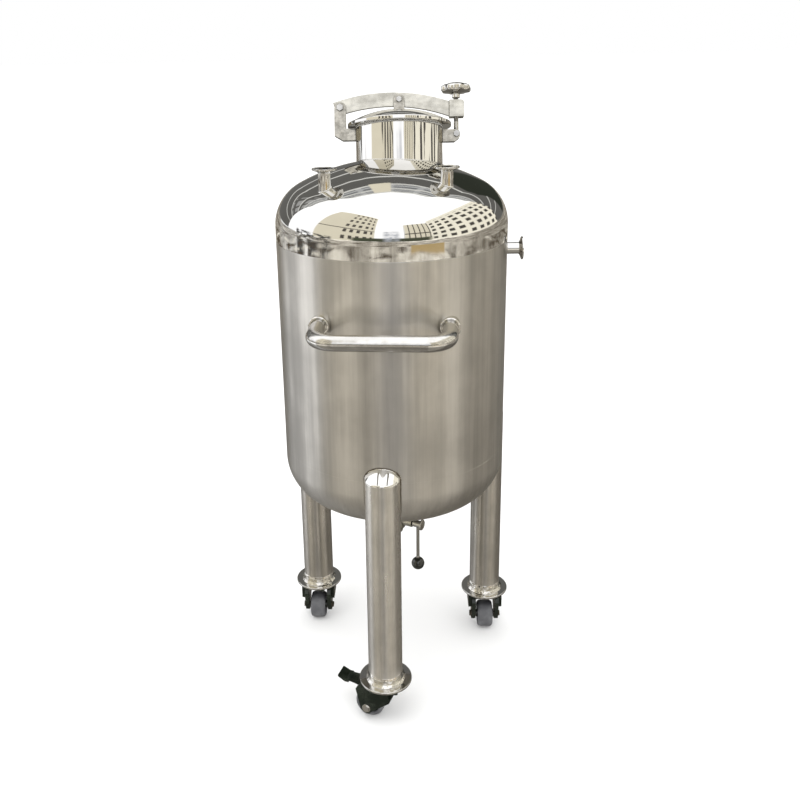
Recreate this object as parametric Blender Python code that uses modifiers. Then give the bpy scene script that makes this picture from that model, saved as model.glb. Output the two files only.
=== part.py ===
"""A mobile stainless steel process tank: a vertical vessel on three tube legs with swivel casters.

Metres, +Z up. The floor is z = 0, and the origin lies under the middle of the whole object's box.
Everything hangs under an empty on the vessel's axis.
"""

import math

import bmesh
import bpy

# The vessel
AXIS_X = -0.0125
AXIS_Y = 0.0530
SHELL_RADIUS = 0.250
WALL = 0.004
CROWN_RADIUS = 0.425
KNUCKLE_RADIUS = 0.095
TOP_TANGENT = 1.080
TOP_SEAM = 1.050
BOTTOM_SEAM = 0.580
BOTTOM_TANGENT = 0.546
SHELL_STEPS = 48
CROWN_ROWS = 4
KNUCKLE_ROWS = 4
INNER_CROWN_ROWS = 3
INNER_KNUCKLE_ROWS = 2
GAP = 0.0003

# The legs, their foot discs and the casters under them
LEG_RADIUS = 0.0375
LEG_WALL = 0.003
LEG_CIRCLE = 0.250
LEG_TURN = math.radians(-5.85)
LEG_ANGLES = {"front": math.radians(-90), "left": math.radians(150), "right": math.radians(30)}
LEG_TOP = 0.6125
LEG_TOP_SLOPE = 0.55
DISC_RADIUS = 0.058
DISC_TOP = 0.104
DISC_THICKNESS = 0.005
PLATE_LENGTH = 0.105
PLATE_WIDTH = 0.061
PLATE_THICKNESS = 0.003
PLATE_HEADINGS = {"front": math.radians(-95), "left": math.radians(-105), "right": math.radians(-92)}
CASTER_HEADINGS = {"front": math.radians(159), "left": math.radians(-93), "right": math.radians(-90)}
TRAILS = {"front": 0.0345, "left": 0.019, "right": 0.019}
WHEEL_RADIUS = 0.033
WHEEL_HALF_WIDTH = 0.0190
HUB_HALF_WIDTH = 0.0225
AXLE_RADIUS = 0.004
CHEEK_INNER = 0.0240
CHEEK_OUTER = 0.0340
SHOULDER_OUTER = 0.042
FORK_TOP = 0.0912
FORK_BRIDGE_BOTTOM = 0.083
PEDAL_PIVOT = (0.048, 0.078)
PEDAL_PIN_RADIUS = 0.003
PEDAL_ARM_WIDTH = 0.026
PEDAL_PAD_WIDTH = 0.034

# The handhole: a neck square to the back slope of the dome, with a domed lid under a clamp arm
HANDHOLE_PLACE = (0.0189, 0.1016, 1.1994)
HANDHOLE_LEAN = math.radians(-15)
NECK_X = 0.00105
NECK_RADIUS = 0.09608
NECK_BORE = 0.0924
NECK_TOP = 0.06898
NECK_STEPS = 40
LID_X = 0.0021
LID_RADIUS = 0.11487
LID_BOTTOM = 0.07172
LID_APEX = 0.1092
LID_WALL = 0.00315
ARM_CENTRE_X = -0.0168
ARM_CENTRE_Z = -0.2562
ARM_OUTER = 0.40425
ARM_INNER = 0.3738
ARM_WIDTH = 0.0105
ARM_LEFT = -0.1449
ARM_RIGHT = 0.1252
LUG_X = 0.00168
LUG_BOLT_Z = 0.13514
HINGE_X = -0.12968
HINGE_Z = 0.11603
SWING_X = 0.1281
SWING_Z = 0.0546
SWING_PIN_RADIUS = 0.0042
STEM_RADIUS = 0.00525
FORK_BLOCK = (0.11298, 0.14511, 0.09167, 0.12862)
FORK_SLOT_START = 0.1218
FORK_SLOT_WIDTH = 0.0126
FORK_BLOCK_WIDTH = 0.0273
KNOB_BOTTOM = 0.147
KNOB_TOP = 0.16695
KNOB_RADIUS = 0.03413
KNOB_LOBES = 8
KNOB_TURN = math.radians(12.5)
KNOB_POINTS = 40
HUB_BOTTOM = 0.13419

# Ports, handle and outlet valve
PORT_TUBE = 0.0127
PORT_BORE = 0.0112
FERRULE_RADIUS = 0.02525
FERRULE_THICKNESS = 0.00285
PORT_TOP = 1.214
PORT_PLACES = {"left": (-0.1325, -0.122), "right": (0.1125, -0.122)}
SIDE_PORT_Z = 1.018
SIDE_PORT_END = 0.285
HANDLE_Z = 0.915
HANDLE_RADIUS = 0.016
HANDLE_HALF_SPAN = 0.131
HANDLE_REACH = 0.335
HANDLE_BEND = 0.045
HANDLE_TURN = math.radians(-4.2)
ROSETTE_RADIUS = 0.0208
ROSETTE_FACE = 0.236
NOZZLE_RADIUS = 0.019
NOZZLE_BORE = 0.0175
NOZZLE_FACE = 0.3912
VALVE_RADIUS = 0.027
STEM_Z = 0.359
STEM_HEADING = math.radians(-29)
BALL_Z = 0.2536
BALL_RADIUS = 0.0155
LEVER_ROD_RADIUS = 0.0043
LEVER_PLACE = 0.0615


def clear_scene():
    for old in list(bpy.data.objects):
        bpy.data.objects.remove(old)


def new_collection(name):
    made = bpy.data.collections.new(name)
    bpy.context.scene.collection.children.link(made)
    return made


clear_scene()
PARTS = new_collection("vertical_storage_tank")
HELPERS = new_collection("cutters")
HELPERS.hide_render = True


# Materials
def new_material(name, colour, roughness, metallic):
    made = bpy.data.materials.new(name)
    made.use_nodes = True
    shader = made.node_tree.nodes["Principled BSDF"]
    shader.inputs["Base Color"].default_value = (*colour, 1.0)
    shader.inputs["Roughness"].default_value = roughness
    shader.inputs["Metallic"].default_value = metallic
    return made


STEEL_COLOUR = (0.62, 0.60, 0.57)
MIRROR_STEEL = new_material("mirror_steel", (0.80, 0.79, 0.76), 0.06, 1.0)
SATIN_STEEL = new_material("satin_steel", STEEL_COLOUR, 0.34, 1.0)
LEG_STEEL = new_material("leg_steel", (0.55, 0.52, 0.48), 0.38, 1.0)
CAST_STEEL = new_material("cast_steel", (0.70, 0.68, 0.62), 0.22, 1.0)
BOLT_STEEL = new_material("bolt_steel", (0.78, 0.78, 0.77), 0.15, 1.0)
GASKET_RUBBER = new_material("gasket_rubber", (0.75, 0.74, 0.70), 0.60, 0.0)
BLACK_PAINT = new_material("black_paint", (0.02, 0.025, 0.022), 0.30, 0.0)
TYRE_RUBBER = new_material("tyre_rubber", (0.16, 0.16, 0.17), 0.65, 0.0)
BLACK_BALL = new_material("black_ball", (0.012, 0.014, 0.010), 0.18, 0.0)


# Placing and joining
def add(obj, material, parent, location=(0, 0, 0), rotation=(0, 0, 0)):
    """Puts a piece in the object's collection, under its parent."""
    PARTS.objects.link(obj)
    obj.data.materials.append(material)
    obj.parent = parent
    obj.location = location
    obj.rotation_euler = rotation
    return obj


def add_helper(obj, parent, location=(0, 0, 0), rotation=(0, 0, 0)):
    """Puts a cutter or a shape to be joined among the helpers."""
    HELPERS.objects.link(obj)
    obj.hide_render = True
    obj.display_type = "WIRE"
    obj.parent = parent
    obj.location = location
    obj.rotation_euler = rotation
    return obj


def new_empty(name, parent, location, rotation=(0, 0, 0)):
    made = bpy.data.objects.new(name, None)
    PARTS.objects.link(made)
    made.parent = parent
    made.location = location
    made.rotation_euler = rotation
    return made


def boolean(obj, other, operation):
    change = obj.modifiers.new(other.name, "BOOLEAN")
    change.operation = operation
    change.solver = "EXACT"
    change.object = other
    return obj


def cut(obj, other):
    return boolean(obj, other, "DIFFERENCE")


def join(obj, other):
    return boolean(obj, other, "UNION")


def mesh_from(name, work):
    """An object whose mesh is what a bmesh holds."""
    mesh = bpy.data.meshes.new(name)
    work.to_mesh(mesh)
    work.free()
    return bpy.data.objects.new(name, mesh)


def smooth(obj, degrees=35):
    obj.data.shade_smooth()
    obj.data.set_sharp_from_angle(angle=math.radians(degrees))
    return obj


# Basic shapes
def turned(name, profile, steps, closed=False):
    """A shape turned about local Z. The profile runs down its outer side, then back up inside."""
    mesh = bpy.data.meshes.new(name)
    edges = [(i, i + 1) for i in range(len(profile) - 1)]
    if closed:
        edges.append((len(profile) - 1, 0))
    mesh.from_pydata([(radius, 0.0, height) for radius, height in profile], edges, [])
    obj = bpy.data.objects.new(name, mesh)
    screw = obj.modifiers.new("turn", "SCREW")
    screw.axis = "Z"
    screw.angle = math.tau
    screw.steps = steps
    screw.render_steps = steps
    screw.use_merge_vertices = True
    screw.merge_threshold = 0.00002
    screw.use_smooth_shade = True
    return obj


def cylinder(name, radius, bottom, top, steps):
    """A cylinder along local Z."""
    work = bmesh.new()
    bmesh.ops.create_cone(
        work, cap_ends=True, segments=steps, radius1=radius, radius2=radius, depth=top - bottom
    )
    bmesh.ops.translate(work, verts=work.verts, vec=(0, 0, (bottom + top) / 2))
    return smooth(mesh_from(name, work))


def box(name, low, high):
    """A box between two corners."""
    work = bmesh.new()
    bmesh.ops.create_cube(work, size=1.0)
    size = [b - a for a, b in zip(low, high)]
    middle = [(a + b) / 2 for a, b in zip(low, high)]
    bmesh.ops.scale(work, verts=work.verts, vec=size)
    bmesh.ops.translate(work, verts=work.verts, vec=middle)
    return mesh_from(name, work)


def arc(centre, radius, start, end, count):
    """Points on an arc, from one angle in degrees to another."""
    points = []
    for i in range(count + 1):
        angle = math.radians(start + (end - start) * i / count)
        points.append((centre[0] + radius * math.cos(angle), centre[1] + radius * math.sin(angle)))
    return points


def mesh_of_curve(curve_object):
    """A mesh object in place of a curve object, with its caps welded on."""
    bpy.context.scene.collection.objects.link(curve_object)
    graph = bpy.context.evaluated_depsgraph_get()
    mesh = bpy.data.meshes.new_from_object(curve_object.evaluated_get(graph))
    name = curve_object.name
    bpy.data.objects.remove(curve_object)
    mesh.name = name
    work = bmesh.new()
    work.from_mesh(mesh)
    bmesh.ops.remove_doubles(work, verts=work.verts, dist=0.00001)
    work.to_mesh(mesh)
    work.free()
    return bpy.data.objects.new(name, mesh)


def plate(name, outline, thickness, holes=()):
    """A flat shape in local X and Y, as thick as given about Z = 0. A hole is (x, y, radius)."""
    curve = bpy.data.curves.new(name, "CURVE")
    curve.dimensions = "2D"
    curve.fill_mode = "BOTH"
    curve.extrude = thickness / 2
    loops = [outline]
    for x, y, radius in holes:
        loops.append(arc((x, y), radius, 0, 345, 23))
    for loop in loops:
        spline = curve.splines.new("POLY")
        spline.points.add(len(loop) - 1)
        for point, (x, y) in zip(spline.points, loop):
            point.co = (x, y, 0, 1)
        spline.use_cyclic_u = True
    return mesh_of_curve(bpy.data.objects.new(name, curve))


def upright_plate(name, outline, thickness, offset=0.0, holes=()):
    """A flat shape in local X and Z, with its middle at the given Y."""
    obj = plate(name, outline, thickness, holes)
    for vertex in obj.data.vertices:
        x, y, z = vertex.co
        vertex.co = (x, offset - z, y)
    return obj


def hex_bolt(name, shaft, low, high, head, head_thickness, steps=20):
    """A bolt along local Z through what lies between two heights, with a hexagon at each end."""
    obj = cylinder(name, shaft, low - head_thickness / 2, high + head_thickness / 2, steps)
    return obj, [
        cylinder(name + "_head", head, high, high + head_thickness, 6),
        cylinder(name + "_nut", head, low - head_thickness, low, 6),
    ]


# The vessel's curves
def head_curve(inset, crown_rows, knuckle_rows):
    """Points (radius, height above the tangent line) of a dished end, from its apex down."""
    knuckle_centre = SHELL_RADIUS - KNUCKLE_RADIUS
    drop = math.sqrt((CROWN_RADIUS - KNUCKLE_RADIUS) ** 2 - knuckle_centre**2)
    meet = math.asin(knuckle_centre / (CROWN_RADIUS - KNUCKLE_RADIUS))
    crown = CROWN_RADIUS - inset
    knuckle = KNUCKLE_RADIUS - inset
    points = []
    for i in range(crown_rows + 1):
        angle = meet * i / crown_rows
        points.append((crown * math.sin(angle), crown * math.cos(angle) - drop))
    for i in range(1, knuckle_rows + 1):
        angle = meet + (math.pi / 2 - meet) * i / knuckle_rows
        points.append((knuckle_centre + knuckle * math.sin(angle), knuckle * math.cos(angle)))
    return points


def raised(points, tangent):
    return [(radius, tangent + height) for radius, height in points]


def lowered(points, tangent):
    return [(radius, tangent - height) for radius, height in points]


def leg_angle(side):
    return LEG_ANGLES[side] + LEG_TURN


def leg_place(side):
    angle = leg_angle(side)
    return (LEG_CIRCLE * math.cos(angle), LEG_CIRCLE * math.sin(angle))


TANK = new_empty("tank", None, (AXIS_X, AXIS_Y, 0))
HANDHOLE = new_empty("handhole", TANK, HANDHOLE_PLACE, (HANDHOLE_LEAN, 0, 0))
UPRIGHT = (0, 0, 0)
ALONG_Y = (math.radians(90), 0, 0)

# The whole vessel's outside, a gap larger, which trims what stands on it
outside = raised(head_curve(-GAP, CROWN_ROWS, KNUCKLE_ROWS), TOP_TANGENT)
outside += reversed(lowered(head_curve(-GAP, CROWN_ROWS, KNUCKLE_ROWS), BOTTOM_TANGENT))
VESSEL_OUTSIDE = add_helper(turned("vessel_outside", outside, SHELL_STEPS), TANK)


# The vessel
def make_shell_wall():
    profile = [
        (SHELL_RADIUS, TOP_SEAM - GAP),
        (SHELL_RADIUS, BOTTOM_SEAM + GAP),
        (SHELL_RADIUS - WALL, BOTTOM_SEAM + GAP),
        (SHELL_RADIUS - WALL, TOP_SEAM - GAP),
    ]
    wall = add(turned("shell_wall", profile, SHELL_STEPS, closed=True), SATIN_STEEL, TANK)
    bore = cylinder("side_port_hole", PORT_BORE, 0.20, 0.30, 24)
    add_helper(bore, TANK, (0, 0, SIDE_PORT_Z), (0, math.radians(90), 0))
    cut(wall, bore)


def make_top_head():
    profile = raised(head_curve(0, CROWN_ROWS, KNUCKLE_ROWS), TOP_TANGENT)
    profile += [(SHELL_RADIUS, TOP_SEAM), (SHELL_RADIUS - WALL, TOP_SEAM)]
    profile += reversed(raised(head_curve(WALL, INNER_CROWN_ROWS, INNER_KNUCKLE_ROWS), TOP_TANGENT))
    head = add(turned("top_head", profile, SHELL_STEPS), MIRROR_STEEL, TANK)
    hole = add_helper(cylinder("neck_hole", NECK_BORE, -0.09, 0.06, NECK_STEPS), HANDHOLE, (NECK_X, 0, 0))
    cut(head, hole)
    for side, (x, y) in PORT_PLACES.items():
        bore = add_helper(cylinder(f"port_hole_{side}", PORT_BORE, 1.10, 1.22, 24), TANK, (x, y, 0))
        cut(head, bore)


def make_bottom_head():
    profile = lowered(head_curve(WALL, INNER_CROWN_ROWS, INNER_KNUCKLE_ROWS), BOTTOM_TANGENT)
    profile += [(SHELL_RADIUS - WALL, BOTTOM_SEAM), (SHELL_RADIUS, BOTTOM_SEAM)]
    profile += reversed(lowered(head_curve(0, CROWN_ROWS, KNUCKLE_ROWS), BOTTOM_TANGENT))
    head = add(turned("bottom_head", profile, SHELL_STEPS), SATIN_STEEL, TANK)
    cut(head, add_helper(cylinder("outlet_hole", NOZZLE_BORE, 0.40, 0.43, 24), TANK))


# Ports
def ferrule_profile(face, tube, bore, end):
    """Half a section of a ferrule and its tube, from the face down to the end."""
    return [
        (FERRULE_RADIUS, face),
        (FERRULE_RADIUS, face - FERRULE_THICKNESS),
        (tube + 0.004, face - 0.0060),
        (tube, face - 0.0085),
        (tube, end),
        (bore, end),
        (bore, face),
    ]


def make_ports():
    for side, (x, y) in PORT_PLACES.items():
        profile = ferrule_profile(PORT_TOP, PORT_TUBE, PORT_BORE, 1.12)
        port = add(turned(f"port_{side}", profile, 24, closed=True), MIRROR_STEEL, TANK, (x, y, 0))
        cut(port, VESSEL_OUTSIDE)
    profile = ferrule_profile(SIDE_PORT_END, PORT_TUBE, PORT_BORE, 0.22)
    port = turned("side_port", profile, 24, closed=True)
    add(port, MIRROR_STEEL, TANK, (0, 0, SIDE_PORT_Z), (0, math.radians(90), 0))
    cut(port, VESSEL_OUTSIDE)


# The handhole's neck, gasket and lid
def make_neck():
    profile = [
        (NECK_RADIUS, NECK_TOP),
        (NECK_RADIUS, -0.0400),
        (NECK_BORE, -0.0400),
        (NECK_BORE, NECK_TOP),
    ]
    neck = add(turned("neck", profile, NECK_STEPS, closed=True), MIRROR_STEEL, HANDHOLE, (NECK_X, 0, 0))
    cut(neck, VESSEL_OUTSIDE)


def make_gasket():
    top = LID_BOTTOM - GAP
    bottom = NECK_TOP + GAP
    profile = [(0.0966, top), (0.0966, bottom), (0.0903, bottom), (0.0903, top)]
    gasket = turned("neck_gasket", profile, NECK_STEPS, closed=True)
    add(gasket, GASKET_RUBBER, HANDHOLE, (NECK_X, 0, 0))


def lid_height(radius, inset=0.0):
    """Height of the lid's domed top at a radius."""
    rise = LID_APEX - 0.08085
    reach = 0.11025
    dome = (reach**2 + rise**2) / (2 * rise)
    return LID_APEX - dome + math.sqrt((dome - inset) ** 2 - radius**2)


def make_lid():
    outer = [(0.11025 * i / 5, lid_height(0.11025 * i / 5)) for i in range(6)]
    rim = [
        (0.11361, 0.0798),
        (LID_RADIUS, 0.07823),
        (LID_RADIUS, 0.07266),
        (0.11392, LID_BOTTOM),
        (0.0861, LID_BOTTOM),
    ]
    inner = [(0.0861 * i / 3, lid_height(0.0861 * i / 3, LID_WALL)) for i in (3, 2, 1, 0)]
    add(turned("lid", outer + rim + inner, NECK_STEPS), MIRROR_STEEL, HANDHOLE, (LID_X, 0, 0))


def make_lid_lug():
    """Two ears either side of the clamp arm, on one foot on the lid."""
    inner_face = ARM_WIDTH / 2 + GAP
    thickness = 0.00525
    low = LID_APEX + GAP
    half = 0.01166
    outline = [(LUG_X - half, low), (LUG_X + half, low)]
    outline += arc((LUG_X, 0.14217 - half), half, 0, 180, 10)
    middle = inner_face + thickness / 2
    hole = [(LUG_X, LUG_BOLT_Z - 0.00315, 0.00399)]
    lug = upright_plate("lid_lug", outline, thickness, -middle, hole)
    add(lug, CAST_STEEL, HANDHOLE)
    other = upright_plate("lug_ear", outline, thickness, middle, hole)
    join(lug, add_helper(other, HANDHOLE))
    reach = middle + thickness / 2
    foot = box("lug_foot", (LUG_X - half, -reach, low), (LUG_X + half, reach, low + 0.00651))
    join(lug, add_helper(foot, HANDHOLE))


def make_lid_pin():
    reach = ARM_WIDTH / 2 + 0.00525 + 2 * GAP
    pin, ends = hex_bolt("lid_pin", 0.00368, -reach, reach, 0.00651, 0.0042)
    place = (LUG_X, 0, LUG_BOLT_Z - 0.00315)
    add(pin, BOLT_STEEL, HANDHOLE, place, ALONG_Y)
    for end in ends:
        join(pin, add_helper(end, HANDHOLE, place, ALONG_Y))


def make_clamp_arm():
    """A bow of flat bar, with the forked block for the swing bolt at its right end."""
    left = 90 + math.degrees(math.asin((ARM_LEFT - ARM_CENTRE_X) / -ARM_OUTER))
    right = 90 - math.degrees(math.asin((ARM_RIGHT - ARM_CENTRE_X) / ARM_OUTER))
    centre = (ARM_CENTRE_X, ARM_CENTRE_Z)
    outline = arc(centre, ARM_OUTER, left, right, 14)
    outline += arc(centre, ARM_INNER, right, left, 14)
    holes = [(HINGE_X, HINGE_Z, 0.00451), (LUG_X, LUG_BOLT_Z - 0.00315, 0.00399)]
    arm = add(upright_plate("clamp_arm", outline, ARM_WIDTH, 0, holes), CAST_STEEL, HANDHOLE)
    x_low, x_high, z_low, z_high = FORK_BLOCK
    corner = 0.0063
    block = [(x_low, z_low), (x_high, z_low)]
    block += arc((x_high - corner, z_high - corner), corner, 0, 90, 4)
    block += [(x_low, z_high)]
    join(arm, add_helper(upright_plate("fork_block", block, FORK_BLOCK_WIDTH), HANDHOLE))
    half = FORK_SLOT_WIDTH / 2
    slot = box("fork_slot", (FORK_SLOT_START, -half, z_low - 0.0105), (0.1575, half, z_high + 0.0105))
    cut(arm, add_helper(slot, HANDHOLE))


def neck_bracket(name, outline, ear_thickness, inner_face, hole, foot_low, foot_high):
    """Two ears joined by a foot against the neck."""
    middle = inner_face + ear_thickness / 2
    bracket = add(upright_plate(name, outline, ear_thickness, -middle, hole), CAST_STEEL, HANDHOLE)
    other = upright_plate(name + "_ear", outline, ear_thickness, middle, hole)
    join(bracket, add_helper(other, HANDHOLE))
    reach = middle
    foot = box(name + "_foot", (foot_low[0], -reach, foot_low[1]), (foot_high[0], reach, foot_high[1]))
    join(bracket, add_helper(foot, HANDHOLE))


def make_hinge_bracket():
    neck_side = NECK_X - NECK_RADIUS - GAP
    round_centre = (HINGE_X + 0.00031, 0.11445)
    outline = [(neck_side, 0.04358), (neck_side, 0.0693), (-0.11676, 0.0693)]
    outline += arc(round_centre, 0.0126, 0, 180, 8)
    outline += [(-0.14196, 0.0546), (-0.1239, 0.04358)]
    neck_bracket(
        "hinge_bracket",
        outline,
        0.00473,
        ARM_WIDTH / 2 + GAP,
        [(HINGE_X, HINGE_Z, 0.00451)],
        (-0.1239, 0.0441),
        (neck_side, 0.06878),
    )
    reach = ARM_WIDTH / 2 + 0.00473 + 2 * GAP
    pin, ends = hex_bolt("hinge_pin", 0.0042, -reach, reach, 0.00788, 0.00473)
    place = (HINGE_X, 0, HINGE_Z)
    add(pin, BOLT_STEEL, HANDHOLE, place, ALONG_Y)
    for end in ends:
        join(pin, add_helper(end, HANDHOLE, place, ALONG_Y))


EYE_HALF_WIDTH = 0.00525
EYE_RADIUS = 0.00819


def make_latch_bracket():
    neck_side = NECK_X + NECK_RADIUS + GAP
    outline = [(neck_side, 0.03749), (SWING_X - 0.0042, 0.03749)]
    outline += arc((SWING_X - 0.00105, 0.05093), 0.00893, -70, 0, 4)
    outline += arc((SWING_X - 0.00105, 0.05513), 0.00893, 0, 90, 5)
    outline += [(neck_side, 0.06405)]
    neck_bracket(
        "latch_bracket",
        outline,
        0.00473,
        EYE_HALF_WIDTH + GAP,
        [(SWING_X, SWING_Z, 0.00451)],
        (neck_side, 0.03801),
        (0.11183, 0.06352),
    )
    reach = EYE_HALF_WIDTH + 0.00473 + 2 * GAP
    pin, ends = hex_bolt("swing_pin", SWING_PIN_RADIUS, -reach, reach, 0.00714, 0.0042)
    place = (SWING_X, 0, SWING_Z)
    add(pin, BOLT_STEEL, HANDHOLE, place, ALONG_Y)
    for end in ends:
        join(pin, add_helper(end, HANDHOLE, place, ALONG_Y))


def make_swing_bolt():
    """An eye on the latch pin and a stem up through the fork, on an empty on the pin's axis."""
    swing = new_empty("swing", HANDHOLE, (SWING_X, 0, SWING_Z))
    tip = KNOB_TOP - 0.0063 - SWING_Z
    bolt = add(cylinder("swing_bolt", STEM_RADIUS, 0.00577, tip, 20), BOLT_STEEL, swing)
    eye = cylinder("bolt_eye", EYE_RADIUS, -EYE_HALF_WIDTH, EYE_HALF_WIDTH, 24)
    join(bolt, add_helper(eye, swing, UPRIGHT, ALONG_Y))
    hole = cylinder("eye_hole", SWING_PIN_RADIUS + GAP, -0.0105, 0.0105, 20)
    cut(bolt, add_helper(hole, swing, UPRIGHT, ALONG_Y))
    return swing


def make_knob(swing):
    """A lobed hand nut, turned on the stem."""
    middle = (KNOB_BOTTOM + KNOB_TOP) / 2 - SWING_Z
    outline = []
    for i in range(KNOB_POINTS):
        angle = math.tau * i / KNOB_POINTS
        radius = KNOB_RADIUS - 0.00231 * (1 - math.cos(KNOB_LOBES * (angle - KNOB_TURN)))
        outline.append((radius * math.cos(angle), radius * math.sin(angle)))
    knob = plate("knob", outline, KNOB_TOP - KNOB_BOTTOM)
    bevel = knob.modifiers.new("round", "BEVEL")
    bevel.width = 0.0042
    bevel.segments = 2
    bevel.angle_limit = math.radians(60)
    add(smooth(knob), MIRROR_STEEL, swing, (0, 0, middle))
    hub = cylinder("knob_hub", 0.00893, HUB_BOTTOM - SWING_Z, KNOB_BOTTOM - SWING_Z + 0.0042, 24)
    join(knob, add_helper(hub, swing))
    bore = cylinder("knob_bore", STEM_RADIUS + GAP, 0.063, KNOB_TOP - 0.00577 - SWING_Z, 20)
    cut(knob, add_helper(bore, swing))


# The push handle and its collars
def make_handle():
    turn = new_empty("handle_turn", TANK, (0, 0, HANDLE_Z), (0, 0, HANDLE_TURN))
    inside = -0.17
    left = arc((-HANDLE_HALF_SPAN + HANDLE_BEND, -HANDLE_REACH + HANDLE_BEND), HANDLE_BEND, 180, 270, 6)
    right = arc((HANDLE_HALF_SPAN - HANDLE_BEND, -HANDLE_REACH + HANDLE_BEND), HANDLE_BEND, 270, 360, 6)
    route = [(-HANDLE_HALF_SPAN, inside)] + left + right + [(HANDLE_HALF_SPAN, inside)]
    curve = bpy.data.curves.new("handle", "CURVE")
    curve.dimensions = "3D"
    curve.bevel_depth = HANDLE_RADIUS
    curve.bevel_resolution = 4
    curve.use_fill_caps = True
    spline = curve.splines.new("POLY")
    spline.points.add(len(route) - 1)
    for point, (x, y) in zip(spline.points, route):
        point.co = (x, y, 0, 1)
    handle = mesh_of_curve(bpy.data.objects.new("handle", curve))
    add(smooth(handle, 50), MIRROR_STEEL, turn)
    cut(handle, VESSEL_OUTSIDE)
    bore = HANDLE_RADIUS + GAP
    profile = [
        (ROSETTE_RADIUS - 0.0015, ROSETTE_FACE),
        (ROSETTE_RADIUS, ROSETTE_FACE - 0.0015),
        (ROSETTE_RADIUS, ROSETTE_FACE - 0.0070),
        (ROSETTE_RADIUS - 0.0025, ROSETTE_FACE - 0.0085),
        (ROSETTE_RADIUS - 0.0025, 0.17),
        (bore, 0.17),
        (bore, ROSETTE_FACE),
    ]
    for side, x in (("left", -HANDLE_HALF_SPAN), ("right", HANDLE_HALF_SPAN)):
        collar = turned(f"handle_rosette_{side}", profile, 24, closed=True)
        add(collar, MIRROR_STEEL, turn, (x, 0, 0), ALONG_Y)
        cut(collar, VESSEL_OUTSIDE)


# The legs and their foot discs
def slanted_cylinder(name, radius, bottom, top, steps):
    """A cylinder along Z whose top slopes down along +X."""
    obj = cylinder(name, radius, bottom, top, steps)
    for vertex in obj.data.vertices:
        if vertex.co.z > top - 0.001:
            vertex.co.z = top - LEG_TOP_SLOPE * vertex.co.x
    return obj


def make_leg(side):
    """A tube notched round the vessel, closed by a sloping plate, and its disc."""
    x, y = leg_place(side)
    turn = (0, 0, leg_angle(side))
    bottom = DISC_TOP + GAP
    leg = slanted_cylinder(f"leg_{side}", LEG_RADIUS, bottom, LEG_TOP, 36)
    add(leg, LEG_STEEL, TANK, (x, y, 0), turn)
    bore_top = LEG_TOP - LEG_WALL
    bore = slanted_cylinder(f"leg_bore_{side}", LEG_RADIUS - LEG_WALL, bottom - 0.01, bore_top, 36)
    cut(leg, add_helper(bore, TANK, (x, y, 0), turn))
    cut(leg, VESSEL_OUTSIDE)
    collar = LEG_RADIUS + 0.0005
    profile = [
        (0, DISC_TOP),
        (collar, DISC_TOP),
        (collar, DISC_TOP + 0.0026),
        (collar + 0.0012, DISC_TOP + 0.0026),
        (collar + 0.0030, DISC_TOP),
        (DISC_RADIUS, DISC_TOP),
        (DISC_RADIUS, DISC_TOP - DISC_THICKNESS),
        (0, DISC_TOP - DISC_THICKNESS),
    ]
    add(turned(f"foot_disc_{side}", profile, 32), MIRROR_STEEL, TANK, (x, y, 0))


# The casters
def make_caster_plate(side):
    """The fixed plate under the disc, with the upper bearing race."""
    x, y = leg_place(side)
    top = DISC_TOP - DISC_THICKNESS - GAP
    corner = 0.003
    outline = []
    for sign_x, sign_y, start in ((1, 1, 0), (-1, 1, 90), (-1, -1, 180), (1, -1, 270)):
        centre = (sign_x * (PLATE_LENGTH / 2 - corner), sign_y * (PLATE_WIDTH / 2 - corner))
        outline += arc(centre, corner, start, start + 90, 2)
    place = (x, y, top - PLATE_THICKNESS / 2)
    fixed = plate(f"caster_plate_{side}", outline, PLATE_THICKNESS)
    add(fixed, BLACK_PAINT, TANK, place, (0, 0, PLATE_HEADINGS[side]))
    race = cylinder(f"race_{side}", 0.024, FORK_TOP + GAP, top - PLATE_THICKNESS / 2, 28)
    join(fixed, add_helper(race, TANK, (x, y, 0)))


def cheek_outline(trail):
    """One cheek's outline from the side: wide at the top, down to the axle."""
    points = [(-0.024, FORK_TOP), (-0.028, 0.078), (-0.020, 0.060), (trail - 0.016, 0.030)]
    points += arc((trail, WHEEL_RADIUS), 0.014, 205, 340, 8)
    points += [(trail + 0.022, 0.0650), (trail + 0.025, 0.0780), (trail + 0.020, 0.0860)]
    points += [(0.034, FORK_TOP)]
    return points


def make_fork(side, swivel):
    """Two cheeks under one bridge, with shoulders that stand out at the top."""
    trail = TRAILS[side]
    outline = cheek_outline(trail)
    holes = [(trail, WHEEL_RADIUS, AXLE_RADIUS + GAP)]
    if side == "front":
        holes.append((*PEDAL_PIVOT, PEDAL_PIN_RADIUS + GAP))
    thickness = CHEEK_OUTER - CHEEK_INNER
    middle = (CHEEK_INNER + CHEEK_OUTER) / 2
    fork = upright_plate(f"fork_{side}", outline, thickness, -middle, holes)
    add(fork, BLACK_PAINT, swivel)
    other = upright_plate(f"cheek_{side}", outline, thickness, middle, holes)
    join(fork, add_helper(other, swivel))
    shoulder = [(-0.020, FORK_TOP - 0.0004), (-0.022, 0.072), (-0.012, 0.062), (0.026, 0.056)]
    shoulder += [(0.033, 0.062), (0.0335, FORK_TOP - 0.0004)]
    width = SHOULDER_OUTER - CHEEK_OUTER + 0.001
    for sign in (-1, 1):
        offset = sign * (SHOULDER_OUTER - width / 2)
        piece = upright_plate(f"shoulder_{side}_{sign}", shoulder, width, offset)
        join(fork, add_helper(piece, swivel))
    reach = CHEEK_INNER + 0.001
    bridge = box(
        f"bridge_{side}", (-0.023, -reach, FORK_BRIDGE_BOTTOM), (0.026, reach, FORK_TOP - 0.0002)
    )
    join(fork, add_helper(bridge, swivel))


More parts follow.
